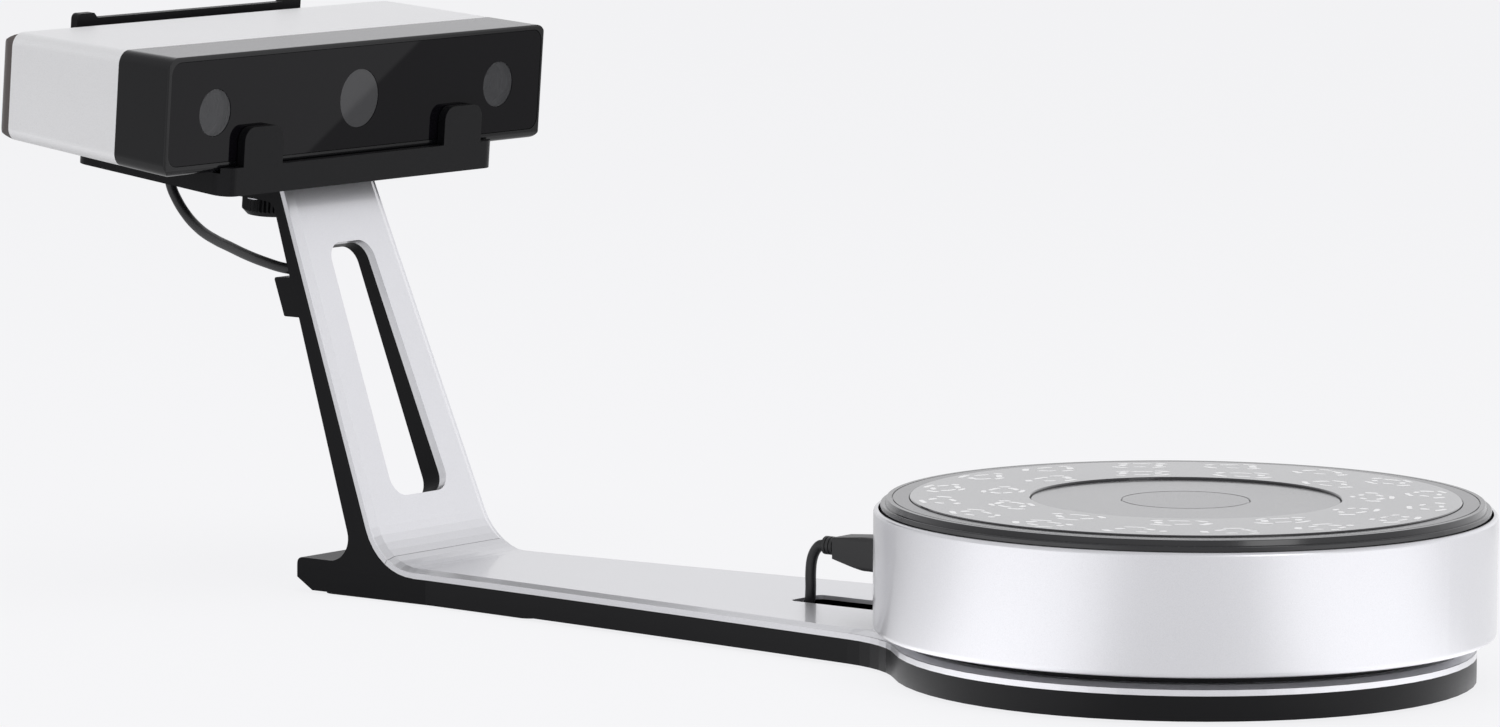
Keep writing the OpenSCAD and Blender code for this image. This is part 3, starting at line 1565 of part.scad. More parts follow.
module head_sockets() {
  front = -board_x - board_t;
  rear = -head_back + head_wall + port_gap;
  color(steel) at_head() {
    difference() {
      block([rear, -head_socket_half, plug_z - head_socket_h / 2],
        [front, head_socket_half, plug_z + head_socket_h / 2]);
      block([rear - over, -plug_nose_w / 2 - fit_gap, plug_z - plug_nose_h / 2 - fit_gap],
        [rear + port_depth, plug_nose_w / 2 + fit_gap, plug_z + plug_nose_h / 2 + fit_gap]);
    }
    translate([0, power_y, port_z]) {
      difference() {
        rod(power_r, rear, front);
        rod(power_hole_r, rear - over, rear + port_depth);
      }
      rod(power_pin_r, rear + fit_gap, front - over);
    }
    translate([0, data_y, port_z]) difference() {
      block([rear, -data_w / 2, -data_h / 2], [front, data_w / 2, data_h / 2]);
      block([rear - over, -data_w / 2 + port_wall, -data_h / 2 + port_wall],
        [rear + port_depth, data_w / 2 - port_wall, data_h / 2 - port_wall]);
    }
  }
}

module fan_frame() {
  x1 = -fan_front;
  x0 = x1 - fan_t;
  half = fan_w / 2;
  color(dark) at_head() translate([0, fan_y, fan_z]) {
    difference() {
      along(rounded_box(-half, half, -half, half, fan_corner), x0, x1);
      rod(fan_bore_r, x0 - over, x1 + over);
    }
    for (a = [0, 120, 240]) rotate([a, 0, 0])
      block([x1 - fan_strut_t, -fan_strut_w / 2, 0], [x1, fan_strut_w / 2, fan_bore_r + over / 2]);
    rod(fan_hub_r, x1 - fan_strut_t, x1);
    rod(fan_pin_r, x0 + fan_strut_t, x1 - fan_strut_t / 2);
  }
}

module fan_rotor() {
  x1 = -fan_front - fan_strut_t - fan_gap;
  x0 = -fan_front - fan_t + fan_gap;
  mid = (x0 + x1) / 2;
  color(satin_dark) at_head() translate([0, fan_y, fan_z]) difference() {
    union() {
      rod(fan_hub_r, x0, x1);
      intersection() {
        rod(fan_blade_r, x0, x1);
        for (i = [0:fan_blades - 1]) rotate([360 * i / fan_blades, 0, 0])
          translate([mid, 0, fan_hub_r - over / 2]) rotate([0, 0, fan_blade_turn])
            block([-fan_blade_t / 2, -fan_blade_r, 0], [fan_blade_t / 2, fan_blade_r, fan_blade_r]);
      }
    }
    rod(fan_pin_r + running_gap, x0 + fan_blade_t, x1 + over);
  }
}

module head_back_cover() {
  x0 = -head_back;
  x1 = -shell_back;
  low = head_low(x1);
  color(dark) at_head() difference() {
    union() {
      difference() {
        rear_form(0);
        translate([over, 0, 0]) rear_form(head_wall);
        rear_form(head_wall);
      }
      intersection() {
        rear_form(head_wall / 2);
        union() {
          for (p = rear_posts) translate([0, p[0], p[1]]) rod(rear_post_r, x0, x1);
          translate([0, fan_y, fan_z]) at_corners(fan_post_at, fan_post_at)
            rod(fan_post_r, x0, -fan_front - fan_t);
          at_rear_screws() rod(shell_boss_r, x0, x1);
        }
      }
      for (p = rear_posts) translate([0, p[0], p[1]]) rod(rear_post_r, x1 - over, -board_x - board_t);
    }
    block([x0 - over, -plug_nose_w / 2 - fit_gap, plug_z - plug_nose_h / 2 - fit_gap],
      [x1, plug_nose_w / 2 + fit_gap, plug_z + plug_nose_h / 2 + fit_gap]);
    translate([0, power_y, port_z]) rod(power_r, x0 - over, x0 + head_wall + over);
    translate([0, data_y, port_z])
      block([x0 - over, -data_w / 2, -data_h / 2], [x0 + head_wall + over, data_w / 2, data_h / 2]);
    translate([0, button_y, button_z]) rod(button_r + button_gap, x0 - over, x1);
    at_rear_screws() {
      rod(screw_r + screw_play, x0 - over, x1 + over);
      rod(screw_head_r + screw_play, x0 - over, x0 + screw_head_t);
    }
    for (i = [0:grille_count - 1])
      translate([0, fan_y, fan_z + (i - (grille_count - 1) / 2) * grille_pitch])
        block([x0 - over, -grille_half(i), -grille_w / 2],
          [x0 + head_wall + over, grille_half(i), grille_w / 2]);
  }
}

function grille_half(i) =
  sqrt(pow(fan_bore_r, 2) - pow((i - (grille_count - 1) / 2) * grille_pitch, 2));

module at_rear_screws() {
  at_corners(shell_boss_y, shell_boss_z) children();
}

// Solid form of the rear cover, drawn in by inset
module rear_form(inset) {
  x0 = -head_back + inset;
  x1 = -shell_back;
  low = head_low(x1) + inset;
  high = head_up - inset;
  half = head_half - inset;
  round_side = min(rear_round - inset, rear_depth + shell_boss_l);
  intersection() {
    across(rounded([[x1 + shell_boss_l, low], [x1 + shell_boss_l, high], [x0, high], [x0, low]],
      [0, 0, round_side, round_side]), half + over);
    along(rounded_box(-half, half, low, high, max(head_corner - inset, 1)), x0 - over, x1);
    translate([0, 0, -2 * head_up]) linear_extrude(4 * head_up)
      polygon(rounded([[x1 + shell_boss_l, -half], [x1 + shell_boss_l, half], [x0, half], [x0, -half]],
        [0, 0, rear_corner, rear_corner]));
  }
}

module power_button() {
  x0 = -head_back - button_out;
  inner = -head_back + head_wall + button_gap;
  color(satin_dark) at_head() translate([0, button_y, button_z]) {
    rod(button_r, x0, inner + button_flange_t);
    rod(button_r + button_flange_w, inner, inner + button_flange_t);
    rod(button_stem_r, inner, -board_x - board_t - switch_t - button_travel - button_gap);
  }
}

module head_plug() {
  x1 = -head_back - plug_front;
  color(dark) at_head() {
    along(rounded_box(-plug_half, plug_half, -plug_bottom, -plug_top, plug_round), -plug_back, x1);
    block([x1 - over, -plug_nose_w / 2, plug_z - plug_nose_h / 2],
      [-head_back + head_wall + port_depth - socket_gap, plug_nose_w / 2, plug_z + plug_nose_h / 2]);
    translate([-relief_x, 0, -relief_end])
      cylinder(h = relief_end - plug_bottom + over, r1 = relief_low_r, r2 = relief_top_r);
  }
}

module head_lead() {
  color(dark) placed() tube(HEAD_LEAD, lead_d / 2);
}

module stand_lead() {
  color(dark) placed() tube(STAND_LEAD, lead_d / 2);
}

module table_lead() {
  color(dark) placed() tube(TABLE_LEAD, lead_d / 2);
}

module table_plug() {
  x1 = -drum_r - table_plug_end;
  x0 = x1 - table_plug_l;
  neck = x0 + table_plug_neck_l;
  relief = x0 - table_relief_l;
  side = [
    [x0, table_plug_neck_low], [x0, table_plug_neck_top], [neck, table_plug_top], [x1, table_plug_top],
    [x1, table_plug_low], [neck, table_plug_low]
  ];
  rib_pitch = (table_relief_l - table_rib_t) / table_relief_ribs;
  color(dark) placed() {
    intersection() {
      across(side, table_plug_half);
      along(rounded_box(-table_plug_half, table_plug_half, table_plug_low, table_plug_top, table_plug_round),
        x0 - over, x1 + over);
    }
    translate([0, 0, table_relief_z]) {
      rod(table_relief_core_r, relief, x0 + over);
      for (i = [0:table_relief_ribs - 1])
        translate([relief + (i + 1 / 2) * rib_pitch, 0, 0]) rod(table_relief_r, 0, table_rib_t);
    }
    block([x1 - over, -nose_w / 2, table_relief_z - nose_h / 2],
      [-drum_r + nose_l, nose_w / 2, table_relief_z + nose_h / 2]);
  }
}

base_tray();
base_feet();
rear_foot_pad();
spine_plate();
spine_screws();
upright_frame();
upright_cover();
upright_screws();
arm_cover();
cable_guide();
chassis_screws();
turntable_chassis();
drum_shell();
shaft_bushes();
motor_bracket();
stepper_motor();
motor_screws();
turntable_board();
drum_socket();
platter();
marker_plate();
centre_mat();
centre_cap();
platter_shaft();
shaft_clip();
drive_gear();
hub_screws();
motor_pinion();
cradle();
cradle_screws();
cradle_pads();
clamp_washer();
clamp_screw();
head_shell();
tripod_insert();
head_bezel();
front_glass();
left_window();
right_window();
projector_window();
optic_bench();
bench_screws();
left_camera();
right_camera();
camera_lenses();
projector_module();
projector_lens();
heat_sink();
main_board();
head_sockets();
fan_frame();
fan_rotor();
head_back_cover();
power_button();
head_plug();
head_lead();
stand_lead();
table_lead();
table_plug();
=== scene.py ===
"""Looks of the desktop three-d scanner with its turntable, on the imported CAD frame. Metres, row frame."""

import logging
import math
from dataclasses import dataclass
from enum import Enum
from typing import Any, Dict, List, Optional, Sequence, Tuple, Union

import bpy
import numpy as np
from mathutils import Matrix, Vector


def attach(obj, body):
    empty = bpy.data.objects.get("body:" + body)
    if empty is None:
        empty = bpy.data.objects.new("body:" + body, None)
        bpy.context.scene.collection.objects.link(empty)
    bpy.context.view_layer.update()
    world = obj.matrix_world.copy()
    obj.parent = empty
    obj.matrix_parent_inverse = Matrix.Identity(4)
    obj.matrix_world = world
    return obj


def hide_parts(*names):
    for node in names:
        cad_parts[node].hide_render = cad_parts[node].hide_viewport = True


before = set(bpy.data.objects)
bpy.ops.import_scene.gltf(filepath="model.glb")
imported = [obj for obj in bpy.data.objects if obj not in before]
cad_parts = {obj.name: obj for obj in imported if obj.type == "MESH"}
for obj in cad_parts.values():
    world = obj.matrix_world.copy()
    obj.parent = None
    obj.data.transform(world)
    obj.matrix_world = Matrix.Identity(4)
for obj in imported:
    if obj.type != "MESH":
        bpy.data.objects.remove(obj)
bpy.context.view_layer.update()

log = logging.getLogger("scanner")
Color = Tuple[float, float, float]
Place = Tuple[float, float, float]
Points = Sequence[Place]
Faces = List[Tuple[int, ...]]
Socket = bpy.types.NodeSocket
FLOAT, COLOR, VECTOR = "NodeSocketFloat", "NodeSocketColor", "NodeSocketVector"

MM = 0.001
# X of the turntable's axis in the row frame, in millimetres, and its foot in metres.
AXIS_X = 170.0102
AXIS: Place = (AXIS_X * MM, 0.0, 0.0)
WIDTH_WAY = np.array([0.0, 1.0, 0.0])
BUMP_DEPTH = 0.0001
DUST_COLOR: Color = (0.55, 0.54, 0.52)


class Body(Enum):
    """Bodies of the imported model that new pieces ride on."""

    STAND = "stand"
    PLATTER = "platter_body"


class Slot(Enum):
    """Names of material slots of the record; nothing in this script reads them."""

    CABLE = "cable_black"
    MARKER = "marker_black"
    CAMERA = "camera_black"


# ---------------------------------------------------------------- surfaces


def through(points: np.ndarray, step: float) -> np.ndarray:
    """Smooth line through points: cubic pieces whose end slopes weigh the chords on both sides.

    Args:
        points: Points to pass through, one row each.
        step: Greatest distance between two points of the result.

    Returns:
        Points along the line, one row each.
    """
    gaps = np.linalg.norm(np.diff(points, axis=0), axis=1)
    chords = np.diff(points, axis=0) / gaps[:, None]
    slopes = np.vstack([chords[:1], chords, chords[-1:]])
    weight = np.concatenate([gaps[:1], gaps, gaps[-1:]])
    left, right = weight[:-1, None], weight[1:, None]
    tangents = (slopes[:-1] * right + slopes[1:] * left) / (left + right)
    counts = np.maximum(1, np.ceil(gaps / step).astype(int))
    span = np.repeat(np.arange(len(gaps)), counts)
    first = np.repeat(np.concatenate([[0], np.cumsum(counts)[:-1]]), counts)
    t = ((np.arange(len(span)) - first) / counts[span])[:, None]
    start, end, chord = points[span], points[span + 1], gaps[span][:, None]
    leave, arrive = tangents[span] * chord, tangents[span + 1] * chord
    line = ((2 * t**3 - 3 * t**2 + 1) * start + (t**3 - 2 * t**2 + t) * leave
            + (3 * t**2 - 2 * t**3) * end + (t**3 - t**2) * arrive)
    return np.vstack([line, points[-1:]])


def run_length(line: np.ndarray) -> float:
    """Length of a line of points: the sum of its steps."""
    return float(np.linalg.norm(np.diff(line, axis=0), axis=1).sum())


def tube_faces(rings: int, around: int) -> Faces:
    """Quads between neighbouring rings of a tube, and a cap on its first and last ring.

    Args:
        rings: Number of rings.
        around: Points in each ring.

    Returns:
        Faces as vertex indices, pointing outwards where rings turn left as seen along the run.
    """
    j, i = np.meshgrid(np.arange(rings - 1), np.arange(around), indexing="ij")
    k = (i + 1) % around
    quads = np.stack([j * around + i, j * around + k, (j + 1) * around + k, (j + 1) * around + i], axis=-1)
    caps = [tuple(range(around - 1, -1, -1)), tuple(range((rings - 1) * around, rings * around))]
    return [tuple(q) for q in quads.reshape(-1, 4).tolist()] + caps


def swept(line: np.ndarray, radius: float, sides: int) -> Tuple[np.ndarray, Faces]:
    """Tube: a circle at each point, in the plane across the line, carried along it.

    The circle's first direction is the tangent crossed with the width direction, which no lead runs along.

    Args:
        line: Points of the centre line.
        radius: Radius of the tube.
        sides: Points round the tube.

    Returns:
        Vertices and faces.
    """
    tangent = np.gradient(line, axis=0)
    tangent /= np.linalg.norm(tangent, axis=1)[:, None]
    first = np.cross(tangent, WIDTH_WAY)
    first /= np.linalg.norm(first, axis=1)[:, None]
    second = np.cross(tangent, first)
    turn = np.linspace(0, 2 * math.pi, sides, endpoint=False)
    ring = np.cos(turn)[None, :, None] * first[:, None, :] + np.sin(turn)[None, :, None] * second[:, None, :]
    verts = line[:, None, :] + radius * ring
    return verts.reshape(-1, 3), tube_faces(len(line), sides)


def revolved(profile: np.ndarray, centre: np.ndarray, axis: np.ndarray, sides: int
             ) -> Tuple[np.ndarray, Faces]:
    """Ring: a closed profile of radius and height, turned once round an axis.

    Args:
        profile: Rows of radius and height along the axis, in order round the section.
        centre: Point on the axis at height zero.
        axis: Direction of the axis, of length one and square to the width direction.
        sides: Steps of the turn.

    Returns:
        Vertices and faces of a closed ring.
    """
    first = np.cross(axis, WIDTH_WAY)
    first /= np.linalg.norm(first)
    second = np.cross(axis, first)
    turn = np.linspace(0, 2 * math.pi, sides, endpoint=False)
    out = np.cos(turn)[:, None] * first + np.sin(turn)[:, None] * second
    verts = (centre + profile[None, :, 0, None] * out[:, None, :]
             + profile[None, :, 1, None] * axis[None, None, :]).reshape(-1, 3)
    n = len(profile)
    i, j = np.meshgrid(np.arange(sides), np.arange(n), indexing="ij")
    a, b = (i + 1) % sides, (j + 1) % n
    quads = np.stack([i * n + j, i * n + b, a * n + b, a * n + j], axis=-1)
    return verts, [tuple(q) for q in quads.reshape(-1, 4).tolist()]


def piece(name: str, verts: np.ndarray, faces: Faces, smooth: bool = True) -> bpy.types.Object:
    """Mesh object at the origin, from whole arrays, with its normals pointing out.

    Args:
        name: Name of the object.
        verts: Vertices, one row each.
        faces: Vertex indices of the faces.
        smooth: Whether the faces are shaded smooth.

    Returns:
        The object, linked into the scene.
    """
    mesh = bpy.data.meshes.new(name)
    mesh.from_pydata(verts.tolist(), [], faces)
    mesh.polygons.foreach_set("use_smooth", np.full(len(mesh.polygons), smooth))
    mesh.update()
    obj = bpy.data.objects.new(name, mesh)
    bpy.context.scene.collection.objects.link(obj)
    bpy.context.view_layer.objects.active = obj
    obj.select_set(True)
    bpy.ops.object.mode_set(mode="EDIT")
    bpy.ops.mesh.select_all(action="SELECT")
    bpy.ops.mesh.normals_make_consistent(inside=False)
    bpy.ops.object.mode_set(mode="OBJECT")
    obj.select_set(False)
    return obj


# ---------------------------------------------------------------- shading


class Nodes:
    """Small builder of the node tree of a material, a group or the world."""

    def __init__(self, tree: bpy.types.NodeTree) -> None:
        """Keeps the tree that nodes are added to."""
        self.tree = tree

    def feed(self, node: bpy.types.Node, inputs: Dict[Any, Any]) -> bpy.types.Node:
        """Sets or links inputs of a node.

        Args:
            node: The node.
            inputs: Socket name or index to a value or to another node's output.

        Returns:
            The node.
        """
        for key, value in inputs.items():
            if isinstance(value, Socket):
                self.tree.links.new(value, node.inputs[key])
            else:
                node.inputs[key].default_value = value
        return node

    def add(self, kind: str, inputs: Optional[Dict[Any, Any]] = None, **settings: Any) -> bpy.types.Node:
        """Adds a node, sets its properties, and sets or links its inputs.

        Args:
            kind: Blender's type name of the node.
            inputs: Socket name or index to a value or to another node's output.
            settings: Properties of the node.

        Returns:
            The node.
        """
        node = self.tree.nodes.new(kind)
        for key, value in settings.items():
            setattr(node, key, value)
        return self.feed(node, inputs or {})

    def use(self, group: bpy.types.NodeTree, **inputs: Any) -> bpy.types.Node:
        """A group placed in the tree, its inputs set or linked by name."""
        return self.add("ShaderNodeGroup", inputs, node_tree=group)

    def math(self, operation: str, a: Any, b: Any = 0.0) -> Socket:
        """One Math node's result."""
        return self.add("ShaderNodeMath", {0: a, 1: b}, operation=operation).outputs[0]

    def vector(self, operation: str, a: Any, b: Any = (0.0, 0.0, 0.0)) -> Socket:
        """One Vector Math node's result: a number where the operation gives one, otherwise a vector."""
        node = self.add("ShaderNodeVectorMath", {0: a, 1: b}, operation=operation)
        return node.outputs["Value" if operation in ("DOT_PRODUCT", "DISTANCE", "LENGTH") else "Vector"]

    def spread(self, value: Any, low: float, high: float, to_low: Any = 0.0, to_high: Any = 1.0,
               smooth: bool = False) -> Socket:
        """A value carried from one range to another, held at its ends, evenly or with smooth ends."""
        return self.add("ShaderNodeMapRange", {"Value": value, "From Min": low, "From Max": high,
                                               "To Min": to_low, "To Max": to_high},
                        interpolation_type="SMOOTHSTEP" if smooth else "LINEAR").outputs[0]

    def mix(self, share: Any, a: Any, b: Any) -> Socket:
        """Two colours mixed by a share."""
        return self.add("ShaderNodeMix", {0: share, 6: a, 7: b}, data_type="RGBA").outputs[2]

    def between(self, share: Any, a: Any, b: Any) -> Socket:
        """Two numbers mixed by a share."""
        return self.add("ShaderNodeMix", {0: share, 2: a, 3: b}, data_type="FLOAT").outputs[0]

    def place(self) -> Socket:
        """Object coordinates, which are metres of the row frame."""
        return self.add("ShaderNodeTexCoord").outputs["Object"]

    def noise(self, place: Any, scale: Any, detail: float, rough: float = 0.5) -> Socket:
        """Noise value at a place."""
        return self.add("ShaderNodeTexNoise", {"Vector": place, "Scale": scale, "Detail": detail,
                                               "Roughness": rough}).outputs[0]

    def bump(self, height: Any, strength: float) -> bpy.types.Node:
        """Bump node for a height."""
        return self.add("ShaderNodeBump", {"Height": height, "Strength": strength, "Distance": BUMP_DEPTH})


def rgba(color: Color) -> Tuple[float, float, float, float]:
    """Colour with full opacity."""
    return (*color, 1.0)


def new_material(name: str) -> Tuple[bpy.types.Material, Nodes, bpy.types.Node]:
    """Plain material, the builder of its tree, and its Principled BSDF."""
    material = bpy.data.materials.new(name)
    material.use_nodes = True
    return material, Nodes(material.node_tree), material.node_tree.nodes["Principled BSDF"]


def new_group(name: str, inputs: Sequence[Tuple[str, str, Any]], outputs: Sequence[Tuple[str, str]]
              ) -> Tuple[Nodes, bpy.types.Node, bpy.types.Node]:
    """Empty node group with named sockets.

    Args:
        name: Name of the group.
        inputs: Name, socket type and default of each input.
        outputs: Name and socket type of each output.

    Returns:
        The builder of its tree, and its input and output nodes.
    """
    tree = bpy.data.node_groups.new(name, "ShaderNodeTree")
    for label, kind, value in inputs:
        socket = tree.interface.new_socket(name=label, in_out="INPUT", socket_type=kind)
        socket.default_value = value
    for label, kind in outputs:
        tree.interface.new_socket(name=label, in_out="OUTPUT", socket_type=kind)
    n = Nodes(tree)
    return n, n.add("NodeGroupInput"), n.add("NodeGroupOutput")


class Effects:
    """Node groups that several finishes share. Each is built once.

    The pairs of numbers are the values of noise, slope or facing where an effect begins and where it is full.
    """

    WIDE_SCALE = 0.21
    HOLLOW_NOISE = (0.46, 0.34)
    DUSTY_SLOPE = (0.4, 1.0)
    DUSTY_NOISE = (0.5, 0.75)
    WALL_FACING = (0.94, 0.98)

    def __init__(self) -> None:
        """Builds the groups."""
        self.grain = self._grain()
        self.tone = self._tone()
        self.dust = self._dust()
        self.turned = self._turned()
        self.wall = self._wall()

    def _grain(self) -> bpy.types.NodeTree:
        """Moulded or sprayed grain: coarse and fine noise added, as a height and as a mask of its hollows."""
        n, inp, out = new_group(
            "moulded grain", [("Scale", FLOAT, 2600.0), ("Coarse", FLOAT, 0.4)],
            [("Height", FLOAT), ("Hollows", FLOAT)])
        place = n.place()
        fine = n.noise(place, inp.outputs["Scale"], detail=3.0, rough=0.6)
        wide = n.noise(place, n.math("MULTIPLY", inp.outputs["Scale"], self.WIDE_SCALE), detail=2.0)
        height = n.math("ADD", fine, n.math("MULTIPLY", wide, inp.outputs["Coarse"]))
        n.feed(out, {"Height": height, "Hollows": n.spread(fine, *self.HOLLOW_NOISE)})
        return n.tree

    def _tone(self) -> bpy.types.NodeTree:
        """Slow drift of a colour and its gloss over the surface: wide noise moves both a little each way."""
        n, inp, out = new_group(
            "slow tone", [("Color", COLOR, (0.5, 0.5, 0.5, 1.0)), ("Amount", FLOAT, 0.06),
                          ("Scale", FLOAT, 18.0), ("Gloss", FLOAT, 0.4)],
            [("Color", COLOR), ("Gloss", FLOAT)])
        drift = n.math("SUBTRACT", n.noise(n.place(), inp.outputs["Scale"], detail=3.0), 0.5)
        share = n.math("MULTIPLY", drift, inp.outputs["Amount"])
        value = n.math("ADD", 1.0, n.math("MULTIPLY", share, 2.0))
        shade = n.add("ShaderNodeHueSaturation", {"Color": inp.outputs["Color"], "Value": value})
        n.feed(out, {"Color": shade.outputs[0], "Gloss": n.math("ADD", inp.outputs["Gloss"], share)})
        return n.tree

    def _dust(self) -> bpy.types.NodeTree:
        """Fine dust on faces that look up: a mask from the normal's height times spotted noise."""
        n, inp, out = new_group(
            "settled dust", [("Amount", FLOAT, 0.15), ("Scale", FLOAT, 900.0)], [("Mask", FLOAT)])
        up = n.add("ShaderNodeSeparateXYZ", {0: n.add("ShaderNodeNewGeometry").outputs["Normal"]}).outputs[2]
        specks = n.noise(n.place(), inp.outputs["Scale"], detail=4.0, rough=0.7)
        lying = n.math("MULTIPLY", n.spread(up, *self.DUSTY_SLOPE), n.spread(specks, *self.DUSTY_NOISE))
        n.feed(out, {"Mask": n.math("MULTIPLY", lying, inp.outputs["Amount"])})
        return n.tree

    def _turned(self) -> bpy.types.NodeTree:
        """Lines left by a tool: noise drawn out across one direction."""
        n, inp, out = new_group(
            "tool lines", [("Scale", FLOAT, 900.0), ("Way", VECTOR, (0.0, 0.0, 1.0))], [("Height", FLOAT)])
        along = n.vector("MULTIPLY", n.place(), inp.outputs["Way"])
        scale = n.math("MULTIPLY", inp.outputs["Scale"], 2.0)
        n.feed(out, {"Height": n.noise(along, scale, detail=4.0, rough=0.75)})
        return n.tree

    def _wall(self) -> bpy.types.NodeTree:
        """Normal of a round wall: away from the turntable's axis, where the facets already face nearly so."""
        n, _, out = new_group("round wall", [], [("Normal", VECTOR)])
        own = n.add("ShaderNodeNewGeometry").outputs["Normal"]
        off = n.vector("SUBTRACT", n.place(), AXIS)
        away = n.vector("NORMALIZE", n.vector("MULTIPLY", off, (1.0, 1.0, 0.0)))
        share = n.spread(n.vector("DOT_PRODUCT", own, away), *self.WALL_FACING)
        normal = n.add("ShaderNodeMix", {0: share, 4: own, 5: away}, data_type="VECTOR").outputs[1]
        n.feed(out, {"Normal": normal})
        return n.tree


# ---------------------------------------------------------------- finishes


@dataclass(frozen=True)
class Finish:
    """A painted, moulded or plated finish: a toned colour with grain, dust and an optional clear coat.

    The hollows of its grain are a little duller, and drawn a little darker as painted shade.
    """

    HOLLOW_PAINTED_SHADE_SHARE = 0.25
    HOLLOW_PAINTED_SHADE = 0.8
    HOLLOW_DULLING = 0.06
    FLAKE_SCALE = 9000.0
    BUMP_STRENGTH = 0.35

    name: str
    color: Color
    gloss: float = 0.45
    metallic: float = 0.0
    coat: float = 0.0
    coat_gloss: float = 0.08
    grain: float = 0.1
    grain_scale: float = 2600.0
    tone: float = 0.06
    dust: float = 0.05
    lines: Tuple[float, float, float] = (0.0, 0.0, 0.0)
    line_depth: float = 0.0
    flake: float = 0.0
    shine: float = 0.5
    round_wall: bool = False

    def build(self, effects: Effects) -> bpy.types.Material:
        """The finish as a material.

        Args:
            effects: The shared node groups.

        Returns:
            The material.
        """
        material, n, shader = new_material(self.name)
        grain = n.use(effects.grain, Scale=self.grain_scale)
        tone = n.use(effects.tone, Color=rgba(self.color), Amount=self.tone, Gloss=self.gloss)
        dust = n.use(effects.dust, Amount=self.dust)
        hollows = grain.outputs["Hollows"]
        # Painted shade: the colour is darkened in the grain's hollows.
        color = n.mix(n.math("MULTIPLY", hollows, self.HOLLOW_PAINTED_SHADE_SHARE), tone.outputs["Color"],
                      rgba(tuple(c * self.HOLLOW_PAINTED_SHADE for c in self.color)))
        if self.flake:
            cells = n.add("ShaderNodeTexVoronoi", {"Vector": n.place(), "Scale": self.FLAKE_SCALE})
            level = n.add("ShaderNodeSeparateColor", {0: cells.outputs["Color"]}).outputs[0]
            lit = n.spread(level, 0.0, 1.0, 1 - self.flake, 1 + self.flake)
            color = n.add("ShaderNodeHueSaturation", {"Color": color, "Value": lit}).outputs[0]
        color = n.mix(dust.outputs["Mask"], color, rgba(DUST_COLOR))
        dulled = n.math("MULTIPLY", hollows, min(self.HOLLOW_DULLING, self.grain))
        height = n.math("MULTIPLY", grain.outputs["Height"], self.grain)
        if self.line_depth:
            lines = n.use(effects.turned, Way=self.lines)
            height = n.math("ADD", height, n.math("MULTIPLY", lines.outputs["Height"], self.line_depth))
        bump = n.bump(height, self.BUMP_STRENGTH)
        if self.round_wall:
            n.feed(bump, {"Normal": n.use(effects.wall).outputs[0]})
        n.feed(shader, {
            "Base Color": color, "Roughness": n.math("ADD", tone.outputs["Gloss"], dulled),
            "Normal": bump.outputs[0], "Metallic": self.metallic, "Specular IOR Level": self.shine,
            "Coat Weight": self.coat, "Coat Roughness": self.coat_gloss})
        return material


@dataclass(frozen=True)
class Glass:
    """Tinted or coated glass: a glossy smoky layer that lets part of what lies behind it through."""

    name: str
    color: Color
    cover: float
    gloss: float = 0.03
    coat: float = 0.0
    ior: float = 1.46
    tone: float = 0.03
    tone_scale: float = 60.0
    dust: float = 0.03
    dust_color: Color = (0.5, 0.5, 0.5)

    def build(self, effects: Effects) -> bpy.types.Material:
        """The glass as a material.

        Args:
            effects: The shared node groups.

        Returns:
            The material.
        """
        material, n, shader = new_material(self.name)
        tone = n.use(effects.tone, Color=rgba(self.color), Amount=self.tone, Gloss=self.gloss,
                     Scale=self.tone_scale)
        dust = n.use(effects.dust, Amount=self.dust)
        color = n.mix(dust.outputs["Mask"], tone.outputs["Color"], rgba(self.dust_color))
        n.feed(shader, {"Base Color": color, "Roughness": tone.outputs["Gloss"], "Alpha": self.cover,
                        "IOR": self.ior, "Coat Weight": self.coat})
        return material


@dataclass(frozen=True)
class Board:
    """Lacquered circuit board: green lacquer with lighter copper runs under it and small round pads."""

    name: str
    color: Color
    copper: Color
    gloss: float = 0.35
    tone: float = 0.08
    tone_scale: float = 40.0
    run_scale: float = 90.0
    run_width: float = 0.03
    run_shade: float = 1.9
    pad_scale: float = 260.0
    pad_edge: Tuple[float, float] = (0.12, 0.1)
    pad_metal: float = 0.9
    relief: float = 0.3

    def build(self, effects: Effects) -> bpy.types.Material:
        """The board as a material.

        Args:
            effects: The shared node groups.

        Returns:
            The material.
        """
        material, n, shader = new_material(self.name)
        place = n.place()
        bricks = n.add("ShaderNodeTexBrick", {
            "Vector": place, "Scale": self.run_scale, "Mortar Size": self.run_width,
            "Color1": rgba(self.color), "Color2": rgba(self.color),
            "Mortar": rgba(tuple(c * self.run_shade for c in self.color))}).outputs[0]
        cells = n.add("ShaderNodeTexVoronoi", {"Vector": place, "Scale": self.pad_scale}).outputs["Distance"]
        pads = n.spread(cells, *self.pad_edge)
        tone = n.use(effects.tone, Color=bricks, Amount=self.tone, Gloss=self.gloss, Scale=self.tone_scale)
        n.feed(shader, {
            "Base Color": n.mix(pads, tone.outputs["Color"], rgba(self.copper)),
            "Metallic": n.math("MULTIPLY", pads, self.pad_metal), "Roughness": tone.outputs["Gloss"],
            "Normal": n.bump(pads, self.relief).outputs[0]})
        return material


